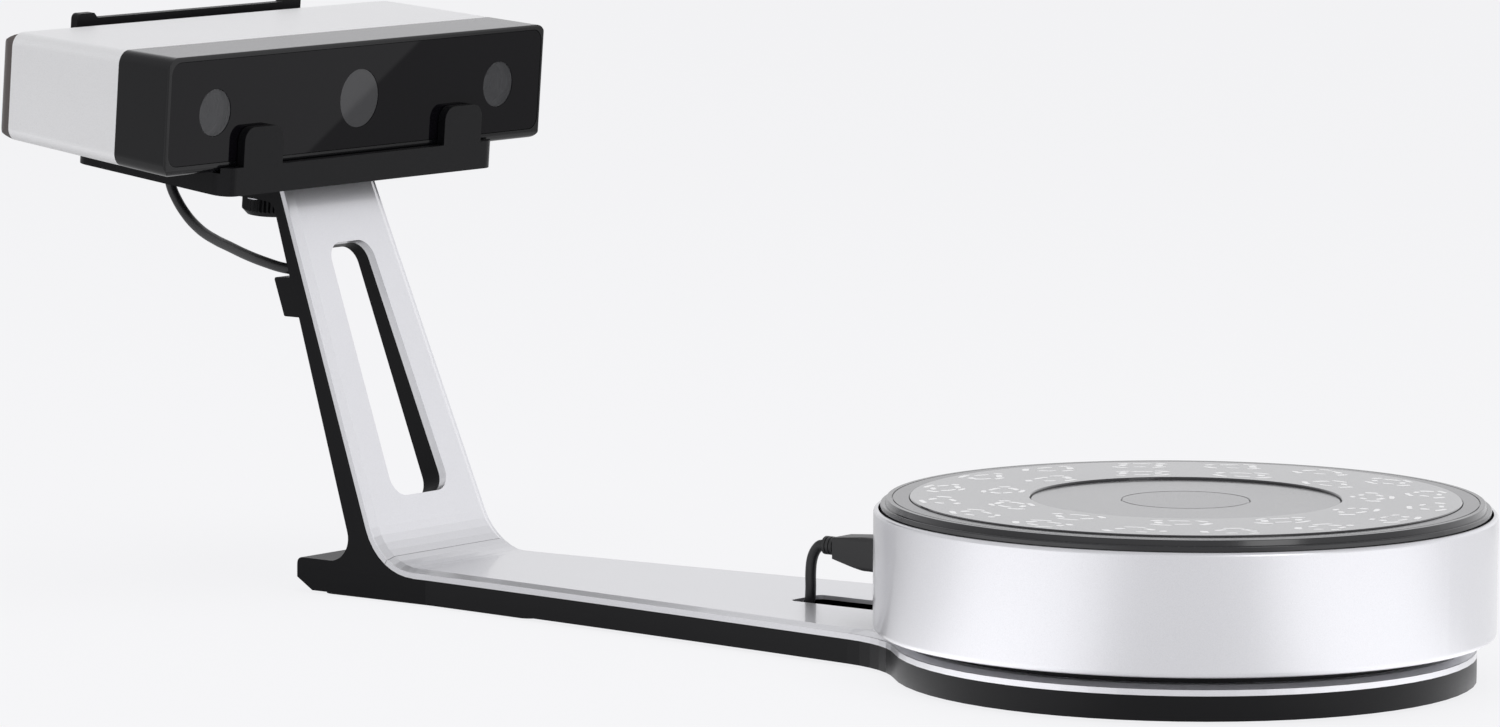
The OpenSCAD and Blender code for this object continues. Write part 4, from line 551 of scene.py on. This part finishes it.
@dataclass(frozen=True)
class CableSkin:
    """Cable jacket: satin black, its twisted cores pressing through faintly, on the tube's own UV map."""

    name: str
    color: Color
    gloss: float
    cores: int = 2
    twist: float = 260.0
    core_height: float = 0.25
    grain: float = 0.2
    grain_scale: float = 5200.0
    relief: float = 0.3
    tone: float = 0.1
    tone_scale: float = 70.0
    dust: float = 0.12
    dust_color: Color = (0.4, 0.39, 0.38)

    def build(self, effects: Effects) -> bpy.types.Material:
        """The jacket as a material.

        Args:
            effects: The shared node groups.

        Returns:
            The material.
        """
        material, n, shader = new_material(self.name)
        axes = n.add("ShaderNodeSeparateXYZ", {0: n.add("ShaderNodeTexCoord").outputs["UV"]})
        around = n.math("MULTIPLY", axes.outputs[0], 2 * math.pi * self.cores)
        cores = n.math("SINE", n.math("ADD", around, n.math("MULTIPLY", axes.outputs[1], self.twist)))
        grain = n.use(effects.grain, Scale=self.grain_scale)
        tone = n.use(effects.tone, Color=rgba(self.color), Amount=self.tone, Gloss=self.gloss,
                     Scale=self.tone_scale)
        dust = n.use(effects.dust, Amount=self.dust)
        height = n.math("ADD", n.math("MULTIPLY", cores, self.core_height),
                        n.math("MULTIPLY", grain.outputs["Height"], self.grain))
        n.feed(shader, {
            "Base Color": n.mix(dust.outputs["Mask"], tone.outputs["Color"], rgba(self.dust_color)),
            "Roughness": tone.outputs["Gloss"], "Normal": n.bump(height, self.relief).outputs[0]})
        return material


SILVER = Finish("silver satin paint", (0.735, 0.735, 0.76), gloss=0.34, metallic=0.72, coat=0.6,
                coat_gloss=0.045, grain=0.1, grain_scale=3400.0, tone=0.03, dust=0.03, flake=0.05)
PALE_SILVER = Finish("pale silver paint", (0.84, 0.84, 0.85), gloss=0.36, metallic=0.55, coat=0.25,
                     coat_gloss=0.34, grain=0.1, grain_scale=3400.0, tone=0.03, dust=0.03, flake=0.04)
DRUM_SILVER = Finish("drum silver paint", (0.72, 0.72, 0.745), gloss=0.33, metallic=0.75, coat=0.5,
                     coat_gloss=0.05, grain=0.08, grain_scale=3400.0, tone=0.03, dust=0.02, flake=0.05)
SATIN_BLACK = Finish("satin black moulding", (0.005, 0.005, 0.006), gloss=0.38, grain=0.5,
                     grain_scale=2600.0, tone=0.1, dust=0.02, shine=0.14)
BASE_BLACK = Finish("base black moulding", (0.005, 0.005, 0.006), gloss=0.34, grain=0.35,
                    grain_scale=2600.0, tone=0.08, dust=0.02, shine=0.17, round_wall=True)
BEZEL_BLACK = Finish("bezel black", (0.004, 0.004, 0.005), gloss=0.2, coat=0.5, coat_gloss=0.11, grain=0.15,
                     grain_scale=3400.0, dust=0.02, shine=0.06)
BACK_GREY = Finish("back cover dark grey", (0.10, 0.085, 0.083), gloss=0.36, grain=0.4, grain_scale=2600.0,
                   tone=0.08, dust=0.02, shine=0.4)
PLATTER = Finish("platter dark gloss", (0.008, 0.008, 0.01), gloss=0.17, coat=0.15, coat_gloss=0.08,
                 grain=0.12, grain_scale=3000.0, tone=0.05, dust=0.1)
MARKER = Finish("marker plate gloss", (0.022, 0.021, 0.024), gloss=0.17, coat=0.7, coat_gloss=0.05,
                grain=0.06, tone=0.04, dust=0.08)
MAT = Finish("mat satin", (0.03, 0.03, 0.033), gloss=0.22, coat=0.6, coat_gloss=0.1, grain=0.2,
             grain_scale=1800.0, tone=0.06, dust=0.12)
CAP = Finish("centre cap satin", (0.06, 0.06, 0.064), gloss=0.26, coat=0.6, coat_gloss=0.12, grain=0.15,
             tone=0.05, dust=0.08)
PRINT_WHITE = Finish("white print", (0.93, 0.93, 0.94), gloss=0.3, coat=0.9, coat_gloss=0.2, grain=0.06,
                     tone=0.03, dust=0.05)
PANEL = Finish("panel gloss", (0.004, 0.0035, 0.005), gloss=0.012, grain=0.0, tone=0.01, dust=0.01,
               shine=0.15)
RUBBER = Finish("matt rubber", (0.016, 0.016, 0.016), gloss=0.75, grain=0.8, grain_scale=1600.0, tone=0.12,
                dust=0.2)
PLUG = Finish("plug moulding", (0.014, 0.014, 0.015), gloss=0.4, grain=0.5, grain_scale=2000.0, tone=0.1,
              dust=0.08)
ZINC = Finish("zinc plate", (0.60, 0.61, 0.62), gloss=0.34, metallic=1.0, grain=0.3, grain_scale=700.0,
              tone=0.1, lines=(1.0, 0.04, 0.04), line_depth=0.5)
SCREW = Finish("screw steel", (0.48, 0.48, 0.50), gloss=0.28, metallic=1.0, grain=0.2, tone=0.08)
BRONZE = Finish("oiled bronze", (0.55, 0.38, 0.17), gloss=0.36, metallic=1.0, grain=0.5, grain_scale=1500.0,
                tone=0.1)
BRASS = Finish("turned brass", (0.72, 0.55, 0.26), gloss=0.25, metallic=1.0, grain=0.1,
               lines=(0.03, 0.03, 1.0), line_depth=0.8)
NYLON = Finish("white nylon", (0.76, 0.74, 0.67), gloss=0.45, grain=0.25, grain_scale=1200.0, tone=0.05)
BENCH = Finish("blasted alloy", (0.56, 0.57, 0.58), gloss=0.45, metallic=1.0, grain=0.9, grain_scale=2200.0)
SINK = Finish("extruded alloy", (0.50, 0.51, 0.52), gloss=0.3, metallic=1.0, lines=(0.03, 0.03, 1.0),
              line_depth=0.9)
ANODISED = Finish("black anodised", (0.02, 0.02, 0.022), gloss=0.38, metallic=0.4, grain=0.3,
                  lines=(1.0, 0.02, 0.02), line_depth=0.4)
WINDOW = Glass("smoked window", (0.085, 0.086, 0.092), cover=0.6)
PROJECTOR = Glass("projector window", (0.052, 0.052, 0.056), cover=0.97)
LENS = Glass("coated lens", (0.012, 0.016, 0.032), cover=1.0, coat=1.0)
GREEN = Board("green board", (0.02, 0.13, 0.06), (0.65, 0.48, 0.2))
CABLE = CableSkin("cable jacket", (0.013, 0.013, 0.0145), 0.4)

Skin = Union[Finish, Glass, Board, CableSkin]
DRESS: Dict[Skin, Tuple[str, ...]] = {
    SILVER: ("arm_cover", "upright_cover"),
    PALE_SILVER: ("head_shell",),
    DRUM_SILVER: ("drum_shell",),
    BASE_BLACK: ("base_tray",),
    SATIN_BLACK: ("upright_frame", "turntable_chassis", "cable_guide", "cradle", "clamp_screw",
                  "drum_socket", "power_button", "fan_frame", "fan_rotor"),
    BEZEL_BLACK: ("head_bezel",),
    BACK_GREY: ("head_back_cover",),
    PLATTER: ("platter",),
    MARKER: ("marker_plate",),
    MAT: ("centre_mat",),
    CAP: ("centre_cap",),
    PANEL: ("front_glass",),
    RUBBER: ("base_feet", "rear_foot_pad", "cradle_pads"),
    PLUG: ("head_plug", "table_plug"),
    ZINC: ("spine_plate", "motor_bracket", "platter_shaft", "head_sockets"),
    SCREW: ("spine_screws", "upright_screws", "chassis_screws", "motor_screws", "shaft_clip", "hub_screws",
            "cradle_screws", "clamp_washer", "bench_screws"),
    BRONZE: ("shaft_bushes",),
    BRASS: ("motor_pinion", "tripod_insert"),
    NYLON: ("drive_gear",),
    BENCH: ("optic_bench",),
    SINK: ("heat_sink",),
    ANODISED: ("stepper_motor", "left_camera", "right_camera", "projector_module"),
    WINDOW: ("left_window", "right_window"),
    PROJECTOR: ("projector_window",),
    LENS: ("camera_lenses", "projector_lens"),
    GREEN: ("turntable_board", "main_board"),
}


class Wardrobe:
    """Builds each finish once and gives it to CAD nodes and new pieces."""

    def __init__(self) -> None:
        """Builds the shared effects."""
        self.effects = Effects()
        self.made: Dict[Skin, bpy.types.Material] = {}

    def material(self, finish: Skin) -> bpy.types.Material:
        """The material of a finish, built at its first use."""
        if finish not in self.made:
            self.made[finish] = finish.build(self.effects)
        return self.made[finish]

    def dress(self, obj: bpy.types.Object, finish: Skin) -> None:
        """Gives an object one finish all over."""
        obj.data.materials.clear()
        obj.data.materials.append(self.material(finish))

    def dress_nodes(self) -> None:
        """Gives every CAD node that shows its finish."""
        for finish, names in DRESS.items():
            for name in names:
                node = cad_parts[name]
                for slot in node.material_slots:
                    slot.material = self.material(finish)
            log.info("finish %s on %s", finish.name, ", ".join(names))


# ---------------------------------------------------------------- camera and light


@dataclass
class Camera:
    """The photograph's viewpoint: place, turn, dip and roll, and a long lens."""

    place: Place = (1.6772394, -2.2325079, 0.4230127)
    yaw: float = 0.6478
    dip: float = 0.1176
    roll: float = 0.0045
    lens: float = 195.57
    sensor: float = 36.0
    reach: Tuple[float, float] = (0.05, 100.0)

    def build(self) -> None:
        """The scene's camera, looking along the yaw and dip, turned by the roll."""
        cy, sy, cp, sp = math.cos(self.yaw), math.sin(self.yaw), math.cos(self.dip), math.sin(self.dip)
        right = np.array([cy, sy, 0.0])
        ahead = np.array([-sy * cp, cy * cp, -sp])
        up = np.cross(right, ahead)
        across = math.cos(self.roll) * right + math.sin(self.roll) * up
        upward = -math.sin(self.roll) * right + math.cos(self.roll) * up
        data = bpy.data.cameras.new("photo camera")
        data.lens, data.sensor_width, data.sensor_fit = self.lens, self.sensor, "HORIZONTAL"
        data.clip_start, data.clip_end = self.reach
        camera = bpy.data.objects.new("photo camera", data)
        bpy.context.scene.collection.objects.link(camera)
        matrix = Matrix.Identity(4)
        for column, axis in enumerate((across, upward, -ahead, np.array(self.place))):
            for line in range(3):
                matrix[line][column] = float(axis[line])
        camera.matrix_world = matrix
        bpy.context.scene.camera = camera


@dataclass(frozen=True)
class Lamp:
    """A rectangular soft lamp aimed at a point: metres and watts."""

    name: str
    at: Place
    to: Place
    size: Tuple[float, float]
    power: float
    mirrored: bool = True

    def build(self) -> None:
        """The lamp, in the scene."""
        data = bpy.data.lights.new(self.name, "AREA")
        data.shape, data.energy = "RECTANGLE", self.power
        data.size, data.size_y = self.size
        lamp = bpy.data.objects.new(self.name, data)
        bpy.context.scene.collection.objects.link(lamp)
        lamp.location = self.at
        lamp.rotation_mode = "QUATERNION"
        lamp.rotation_quaternion = (Vector(self.to) - Vector(self.at)).to_track_quat("-Z", "Y")
        lamp.visible_glossy = self.mirrored


@dataclass(frozen=True)
class Reflector:
    """A lighter or darker stretch of the surroundings.

    It is full within the inner angle of its azimuth and gone beyond the outer one, all in degrees, with one
    gain near the turntable and another far off.
    """

    azimuth: float
    inner: float
    outer: float
    near_gain: float
    far_gain: float


@dataclass
class Studio:
    """Pale floor, pale surroundings and soft lamps at a plain level, in metres.

    A rise or fade is the pair of values between which an effect grows from none to full: the direction's
    height for the zenith, the distance from the turntable for the near gains, and the distance from its
    edge's middle for the flag. Two points of the floor give that edge.
    """

    backdrop: Color = (0.905, 0.905, 0.922)
    ambient: float = 0.48
    zenith: float = 0.7
    zenith_rise: Tuple[float, float] = (0.45, 0.85)
    reflectors: Tuple[Reflector, ...] = (
        Reflector(-108.0, 6.0, 38.0, near_gain=0.82, far_gain=0.05),
        Reflector(4.0, 8.0, 42.0, near_gain=0.88, far_gain=0.1),
        Reflector(73.0, 20.0, 48.0, near_gain=0.15, far_gain=0.3),
        Reflector(165.0, 15.0, 45.0, near_gain=-0.35, far_gain=-0.08),
        Reflector(-133.0, 10.0, 45.0, near_gain=0.15, far_gain=-0.22))
    near_fade: Tuple[float, float] = (1.3, 0.7)
    floor_size: float = 30.0
    floor_bounce: Color = (0.75, 0.75, 0.76)
    floor_seen: Color = (0.1, 0.1, 0.1)
    floor_glow: float = 0.925
    flag_edge: Tuple[Tuple[float, float], Tuple[float, float]] = ((0.3412, 0.6204), (0.5108, 0.9030))
    flag_blur: float = 0.001
    flag_fade: Tuple[float, float] = (0.45, 0.3)
    flag_left: float = 0.5
    lamps: Tuple[Lamp, ...] = (
        Lamp("overhead softbox", (0.1, -0.1, 1.9), (0.0, 0.0, 0.1), (1.8, 1.2), 11.0, mirrored=False),
        Lamp("left softbox", (-1.5, -1.5, 1.0), (0.0, 0.0, 0.1), (0.9, 1.2), 6.5, mirrored=False),
        Lamp("right softbox", (1.9, -0.7, 0.9), (0.1, 0.0, 0.1), (0.7, 1.2), 6.0))

    def glow(self) -> bpy.types.NodeTree:
        """Brightness of the surroundings by azimuth: each reflector is a smooth hump round its own."""
        n, inp, out = new_group(
            "studio glow", [("Direction", VECTOR, (0.0, 0.0, 0.0)), ("Near", FLOAT, 0.0)],
            [("Factor", FLOAT)])
        way = n.vector("NORMALIZE", inp.outputs["Direction"])
        total: Any = 1.0
        for reflector in self.reflectors:
            a = math.radians(reflector.azimuth)
            along = n.vector("DOT_PRODUCT", way, (math.cos(a), math.sin(a), 0.0))
            gain = n.spread(inp.outputs["Near"], 0.0, 1.0, reflector.far_gain, reflector.near_gain)
            begin, full = math.cos(math.radians(reflector.outer)), math.cos(math.radians(reflector.inner))
            total = n.math("ADD", total, n.spread(along, begin, full, 0.0, gain, smooth=True))
        n.feed(out, {"Factor": total})
        return n.tree

    def sight(self, n: Nodes, glow: bpy.types.NodeTree, way: Any, near: Any = 0.0) -> Tuple[Socket, Socket]:
        """What a ray that isn't bounced light sees: a mask of such rays, and the brightness, 1 for a camera.

        Args:
            n: Builder of the tree.
            glow: The group of the reflectors.
            way: Direction or place that the reflectors are laid out by.
            near: Share of the near gains.

        Returns:
            The mask and the brightness.
        """
        path = n.add("ShaderNodeLightPath")
        mirror = n.math("MAXIMUM", path.outputs["Is Glossy Ray"], path.outputs["Is Transmission Ray"])
        seen = n.math("MAXIMUM", path.outputs["Is Camera Ray"], mirror)
        lit = n.use(glow, Direction=way, Near=near)
        return seen, n.between(mirror, 1.0, lit.outputs["Factor"])

    def world(self, glow: bpy.types.NodeTree) -> None:
        """World light: plain for diffuse light, the backdrop's colour for cameras and mirrors, darker above.

        Args:
            glow: The group of the reflectors.
        """
        world = bpy.data.worlds.new("surroundings")
        bpy.context.scene.world = world
        world.use_nodes = True
        n = Nodes(world.node_tree)
        way = n.add("ShaderNodeTexCoord").outputs["Generated"]
        seen, bright = self.sight(n, glow, way)
        up = n.add("ShaderNodeSeparateXYZ", {0: way}).outputs[2]
        bright = n.math("MULTIPLY", bright, n.spread(up, *self.zenith_rise, 1.0, self.zenith))
        n.feed(world.node_tree.nodes["Background"], {
            "Color": n.mix(seen, rgba((1.0, 1.0, 1.0)), rgba(self.backdrop)),
            "Strength": n.between(seen, self.ambient, bright)})

    def flag(self, n: Nodes) -> Socket:
        """Dark flag that only mirrors see, with a straight edge whose reflection crosses the front panel.

        Args:
            n: Builder of the floor's tree.

        Returns:
            The brightness that is left, 1 outside the flag.
        """
        (x0, y0), (x1, y1) = self.flag_edge
        run = math.hypot(x1 - x0, y1 - y0)
        off = n.vector("SUBTRACT", n.place(), (x0, y0, 0.0))
        side = n.vector("DOT_PRODUCT", off, ((y0 - y1) / run, (x1 - x0) / run, 0.0))
        away = n.vector("DISTANCE", n.place(), ((x0 + x1) / 2, (y0 + y1) / 2, 0.0))
        mask = n.math("MULTIPLY", n.spread(side, -self.flag_blur, self.flag_blur),
                      n.spread(away, *self.flag_fade))
        glossy = n.add("ShaderNodeLightPath").outputs["Is Glossy Ray"]
        return n.spread(n.math("MULTIPLY", mask, glossy), 0.0, 1.0, 1.0, self.flag_left)

    def floor(self, glow: bpy.types.NodeTree) -> None:
        """Floor: matt for bounced light, and mostly its own pale colour where seen, with the shadow kept.

        Args:
            glow: The group of the reflectors.
        """
        half = self.floor_size / 2
        mesh = bpy.data.meshes.new("floor")
        corners = [(-half, -half, 0), (half, -half, 0), (half, half, 0), (-half, half, 0)]
        mesh.from_pydata(corners, [], [(0, 1, 2, 3)])
        floor = bpy.data.objects.new("floor", mesh)
        bpy.context.scene.collection.objects.link(floor)
        material, n, shader = new_material("pale floor")
        way = n.vector("SUBTRACT", n.place(), AXIS)
        near = n.spread(n.vector("LENGTH", way), *self.near_fade, smooth=True)
        seen, bright = self.sight(n, glow, way, near)
        shown = n.math("MULTIPLY", seen, n.math("MULTIPLY", bright, self.flag(n)))
        n.feed(shader, {
            "Base Color": n.mix(seen, rgba(self.floor_bounce), rgba(self.floor_seen)),
            "Roughness": 1.0, "Specular IOR Level": 0.0, "Emission Color": rgba(self.backdrop),
            "Emission Strength": n.math("MULTIPLY", shown, self.floor_glow)})
        mesh.materials.append(material)

    def build(self) -> None:
        """The whole studio."""
        glow = self.glow()
        self.world(glow)
        self.floor(glow)
        for lamp in self.lamps:
            lamp.build()
        bpy.context.scene.view_settings.view_transform = "Standard"


# ---------------------------------------------------------------- leads


def row(points: Points) -> np.ndarray:
    """Points of the source, in millimetres from the turntable's axis, as metres of the row frame."""
    return (np.array(points, float) + [AXIS_X, 0.0, 0.0]) * MM


@dataclass
class Leads:
    """The one lead of the scanner in its three stretches, with the same route points as the source.

    The route points are in millimetres from the turntable's axis, the other lengths in metres.
    """

    radius: float = 1.9 * MM
    sides: int = 20
    step: float = 0.8 * MM
    head_points: Points = (
        (-448, 0, 150.8), (-448.5, 0, 144), (-447.5, 0, 138), (-444, 0, 132), (-439, -0.5, 127),
        (-431.5, -2.5, 123), (-420, -6.5, 120), (-410.5, -10, 118.5), (-401, -13.5, 117), (-387, -18, 115.2),
        (-377, -19.8, 114), (-369, -20, 113.6))
    stand_points: Points = (
        (-368.9, -20, 113.6), (-367.5, -20, 113.5), (-365.6, -20, 112.9), (-363.8, -20, 111.4),
        (-362.6, -20, 109), (-361.4, -20, 106), (-354, -20, 86.5), (-346, -20, 65), (-338, -20, 44),
        (-332.5, -20, 29.5), (-328.5, -20, 20.5), (-325, -19.8, 14.2), (-320, -19.4, 10), (-313.5, -18.8, 8),
        (-306, -18, 7.2), (-285, -15, 7.2), (-263, -10.5, 7.2), (-240, -5.5, 7.2), (-216, -2, 7.2),
        (-195, -0.5, 7.2), (-180, 0, 7.2), (-172, 0, 7.2))
    table_points: Points = (
        (-172, 0, 7.2), (-163, 0, 7.2), (-159.6, 0, 7.7), (-157.2, 0, 9.2), (-155.9, 0, 11.6),
        (-155.5, 0, 15), (-155.5, 0, 22), (-155.2, 0, 25.2), (-154.4, 0, 28), (-153, 0, 30.2),
        (-151.4, 0, 31.5), (-150, 0, 31.7))

    def stretch(self, name: str, node: str, points: Points, wardrobe: Wardrobe
                ) -> Tuple[bpy.types.Object, np.ndarray]:
        """One stretch: the tube along its smooth line, with a UV map round and along it.

        Args:
            name: Name of the piece.
            node: CAD node that it replaces.
            points: Route points of the source.
            wardrobe: Gives the finish.

        Returns:
            The piece and the line that it follows.
        """
        line = through(row(points), self.step)
        verts, faces = swept(line, self.radius, self.sides)
        obj = piece(name, verts, faces)
        run = np.concatenate([[0.0], np.cumsum(np.linalg.norm(np.diff(line, axis=0), axis=1))])
        index = np.empty(len(obj.data.loops), np.int32)
        obj.data.loops.foreach_get("vertex_index", index)
        uv = np.stack([(index % self.sides) / self.sides, run[index // self.sides]], axis=1)
        obj.data.uv_layers.new(name="UVMap").data.foreach_set("uv", uv.astype(np.float32).ravel())
        wardrobe.dress(obj, CABLE)
        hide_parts(node)
        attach(obj, Body.STAND.value)
        log.info("%s: %.1f mm of lead", name, run_length(line) / MM)
        return obj, line

    def build(self, wardrobe: Wardrobe) -> None:
        """All three stretches; the two free ones, named as cords, run from where they leave the stand to a
        plug.

        Args:
            wardrobe: Gives the finish.
        """
        head, line = self.stretch("head_lead_cord", "head_lead", self.head_points[::-1], wardrobe)
        self.stretch("stand_lead_run", "stand_lead", self.stand_points, wardrobe)
        table, line = self.stretch("table_lead_cord", "table_lead", self.table_points, wardrobe)


# ---------------------------------------------------------------- turntable


@dataclass
class MarkerPrint:
    """White dashes printed on the marker plate, in groups like those that such a table uses to find its turn.

    Each ring has the radius of its groups' middles, their number, and the share of a step by which it starts.
    A drift is the most that a hash adds. Lengths are in millimetres.
    """

    FIRST_HASH = (7919, 104729, 997)
    SECOND_HASH = (3571, 7333, 991)

    rings: Tuple[Tuple[float, int, float], ...] = ((82.3, 16, 0.0), (62.2, 11, 0.22))
    ring_seed: int = 17
    top: float = 61.0
    thick: float = 0.03
    sunk: float = 0.005
    width: float = 1.0
    stretch: Tuple[float, float] = (1.3, 0.85)
    cap_steps: int = 6
    side_steps: int = 3
    least_dashes: int = 6
    dash_choices: int = 3
    turn_drift: float = 0.45
    inner_out: float = 4.4
    outer_step: float = 2.8
    out_drift: float = 0.9
    least_half: float = 0.5
    longer_half: float = 1.5
    half_drift: float = 0.4
    short_share: float = 0.3

    @staticmethod
    def hashed(i: np.ndarray, seed: int, primes: Tuple[int, int, int]) -> np.ndarray:
        """Shares from 0 to 1 that look random, each from its number and a seed."""
        by, seed_by, size = primes
        return (i * by + seed * seed_by) % size / size

    def group(self, seed: int) -> np.ndarray:
        """Dashes of one group, laid round its middle, whose places and lengths follow whole-number hashes.

        Args:
            seed: Number of the group.

        Returns:
            Rows of distance out, angle round the group, and half length.
        """
        count = self.least_dashes + seed % self.dash_choices
        i = np.arange(count)
        mixed, other = self.hashed(i, seed, self.FIRST_HASH), self.hashed(i, seed, self.SECOND_HASH)
        angle = 2 * math.pi * (i + self.turn_drift * mixed) / count
        out = self.inner_out + self.outer_step * ((i + seed) % 2) + self.out_drift * other
        longer = self.longer_half * other * (mixed > self.short_share)
        half = self.least_half + longer + self.half_drift * mixed
        return np.stack([out, angle, half], axis=1)

    def outline(self) -> np.ndarray:
        """Round-ended bar of half length one: rows of the end it belongs to, and offsets along and across."""
        turn = np.linspace(-math.pi / 2, math.pi / 2, self.cap_steps)
        run = np.linspace(1, -1, self.side_steps + 2)[1:-1]
        cap = np.stack([np.ones_like(turn), self.width * np.cos(turn), self.width * np.sin(turn)], axis=1)
        side = np.stack([run, np.zeros_like(run), np.full_like(run, self.width)], axis=1)
        return np.vstack([cap, side, -cap, -side])

    def build(self, wardrobe: Wardrobe) -> None:
        """All dashes as one thin piece: bars with round ends, bent round the middle of their group.

        Args:
            wardrobe: Gives the finish.
        """
        rows = []
        for radius, count, start in self.rings:
            for k in range(count):
                own = self.group(k + self.ring_seed * int(radius))
                at = np.broadcast_to([radius, 2 * math.pi * (k + start) / count], (len(own), 2))
                rows.append(np.hstack([at, own]))
        radius, round_plate, out, angle, half = (column[:, None] for column in np.vstack(rows).T)
        end, along, across = self.outline().T
        bend = angle + (along + end * half) / out
        x = (out + across) * np.cos(bend) * self.stretch[0]
        y = radius + (out + across) * np.sin(bend) * self.stretch[1]
        flat = np.stack([y * np.cos(round_plate) - x * np.sin(round_plate),
                         y * np.sin(round_plate) + x * np.cos(round_plate)], axis=-1)
        marks, n = flat.shape[:2]
        low = np.dstack([flat, np.full((marks, n), self.top - self.sunk)])
        high = np.dstack([flat, np.full((marks, n), self.top + self.thick)])
        verts = np.stack([low, high], axis=1).reshape(-1, 3)
        faces: Faces = []
        for base in range(0, 2 * n * marks, 2 * n):
            faces.append(tuple(range(base + n, base + 2 * n)))
            faces.append(tuple(range(base + n - 1, base - 1, -1)))
            for i in range(n):
                k = (i + 1) % n
                faces.append((base + i, base + k, base + n + k, base + n + i))
        obj = piece("marker_print", row(verts), faces, smooth=False)
        wardrobe.dress(obj, PRINT_WHITE)
        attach(obj, Body.PLATTER.value)
        log.info("marker_print: %d dashes", marks)


# ---------------------------------------------------------------- head


@dataclass
class Optics:
    """Stepped baffle rings round the lenses of the two cameras, seen through their windows.

    Millimetres: reach and height place the middle of the head's front.
    """

    reach: float = -357.7
    height: float = 175.3
    tilt: float = math.radians(4.2)
    window_z: float = -0.65
    camera_y: float = 78.7
    outer: float = 5.3
    inner: float = 3.4
    front: float = -4.75
    steps: int = 4
    drop: float = 0.35
    sides: int = 64

    def at(self, x: float, y: float, z: float) -> np.ndarray:
        """A place of the head, forward, across and up from the middle of its front, in the row frame."""
        c, s = math.cos(self.tilt), math.sin(self.tilt)
        return row([(self.reach + x * c + z * s, y, self.height - x * s + z * c)])[0]

    def axis(self) -> np.ndarray:
        """The head's forward direction."""
        return np.array([math.cos(self.tilt), 0.0, -math.sin(self.tilt)])

    def profile(self) -> np.ndarray:
        """Section of a baffle: equal steps inwards, each lower than the last, closed underneath.

        Returns:
            Rows of radius and height, round the section.
        """
        edges = np.linspace(self.outer, self.inner, self.steps + 1)
        tops = self.front - self.drop * np.arange(self.steps)
        radius = np.repeat(edges, 2)[1:-1]
        level = np.repeat(tops, 2)
        floor = tops[-1] - self.drop
        return np.vstack([np.stack([radius, level], axis=1), [[self.inner, floor], [self.outer, floor]]]) * MM

    def build(self, wardrobe: Wardrobe) -> None:
        """A baffle in each camera.

        Args:
            wardrobe: Gives the finish.
        """
        for name, y in (("left", self.camera_y), ("right", -self.camera_y)):
            verts, faces = revolved(self.profile(), self.at(0, y, self.window_z), self.axis(), self.sides)
            ring = piece(name + "_camera_baffle", verts, faces, smooth=False)
            wardrobe.dress(ring, ANODISED)
            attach(ring, Body.STAND.value)
            log.info("%s_camera_baffle: %d faces", name, len(faces))


def main() -> None:
    """Builds the camera, the studio, the new pieces and the finishes."""
    logging.basicConfig(level=logging.INFO, format="%(message)s")
    Camera().build()
    Studio().build()
    wardrobe = Wardrobe()
    Leads().build(wardrobe)
    MarkerPrint().build(wardrobe)
    Optics().build(wardrobe)
    wardrobe.dress_nodes()


if __name__ == "__main__":
    main()
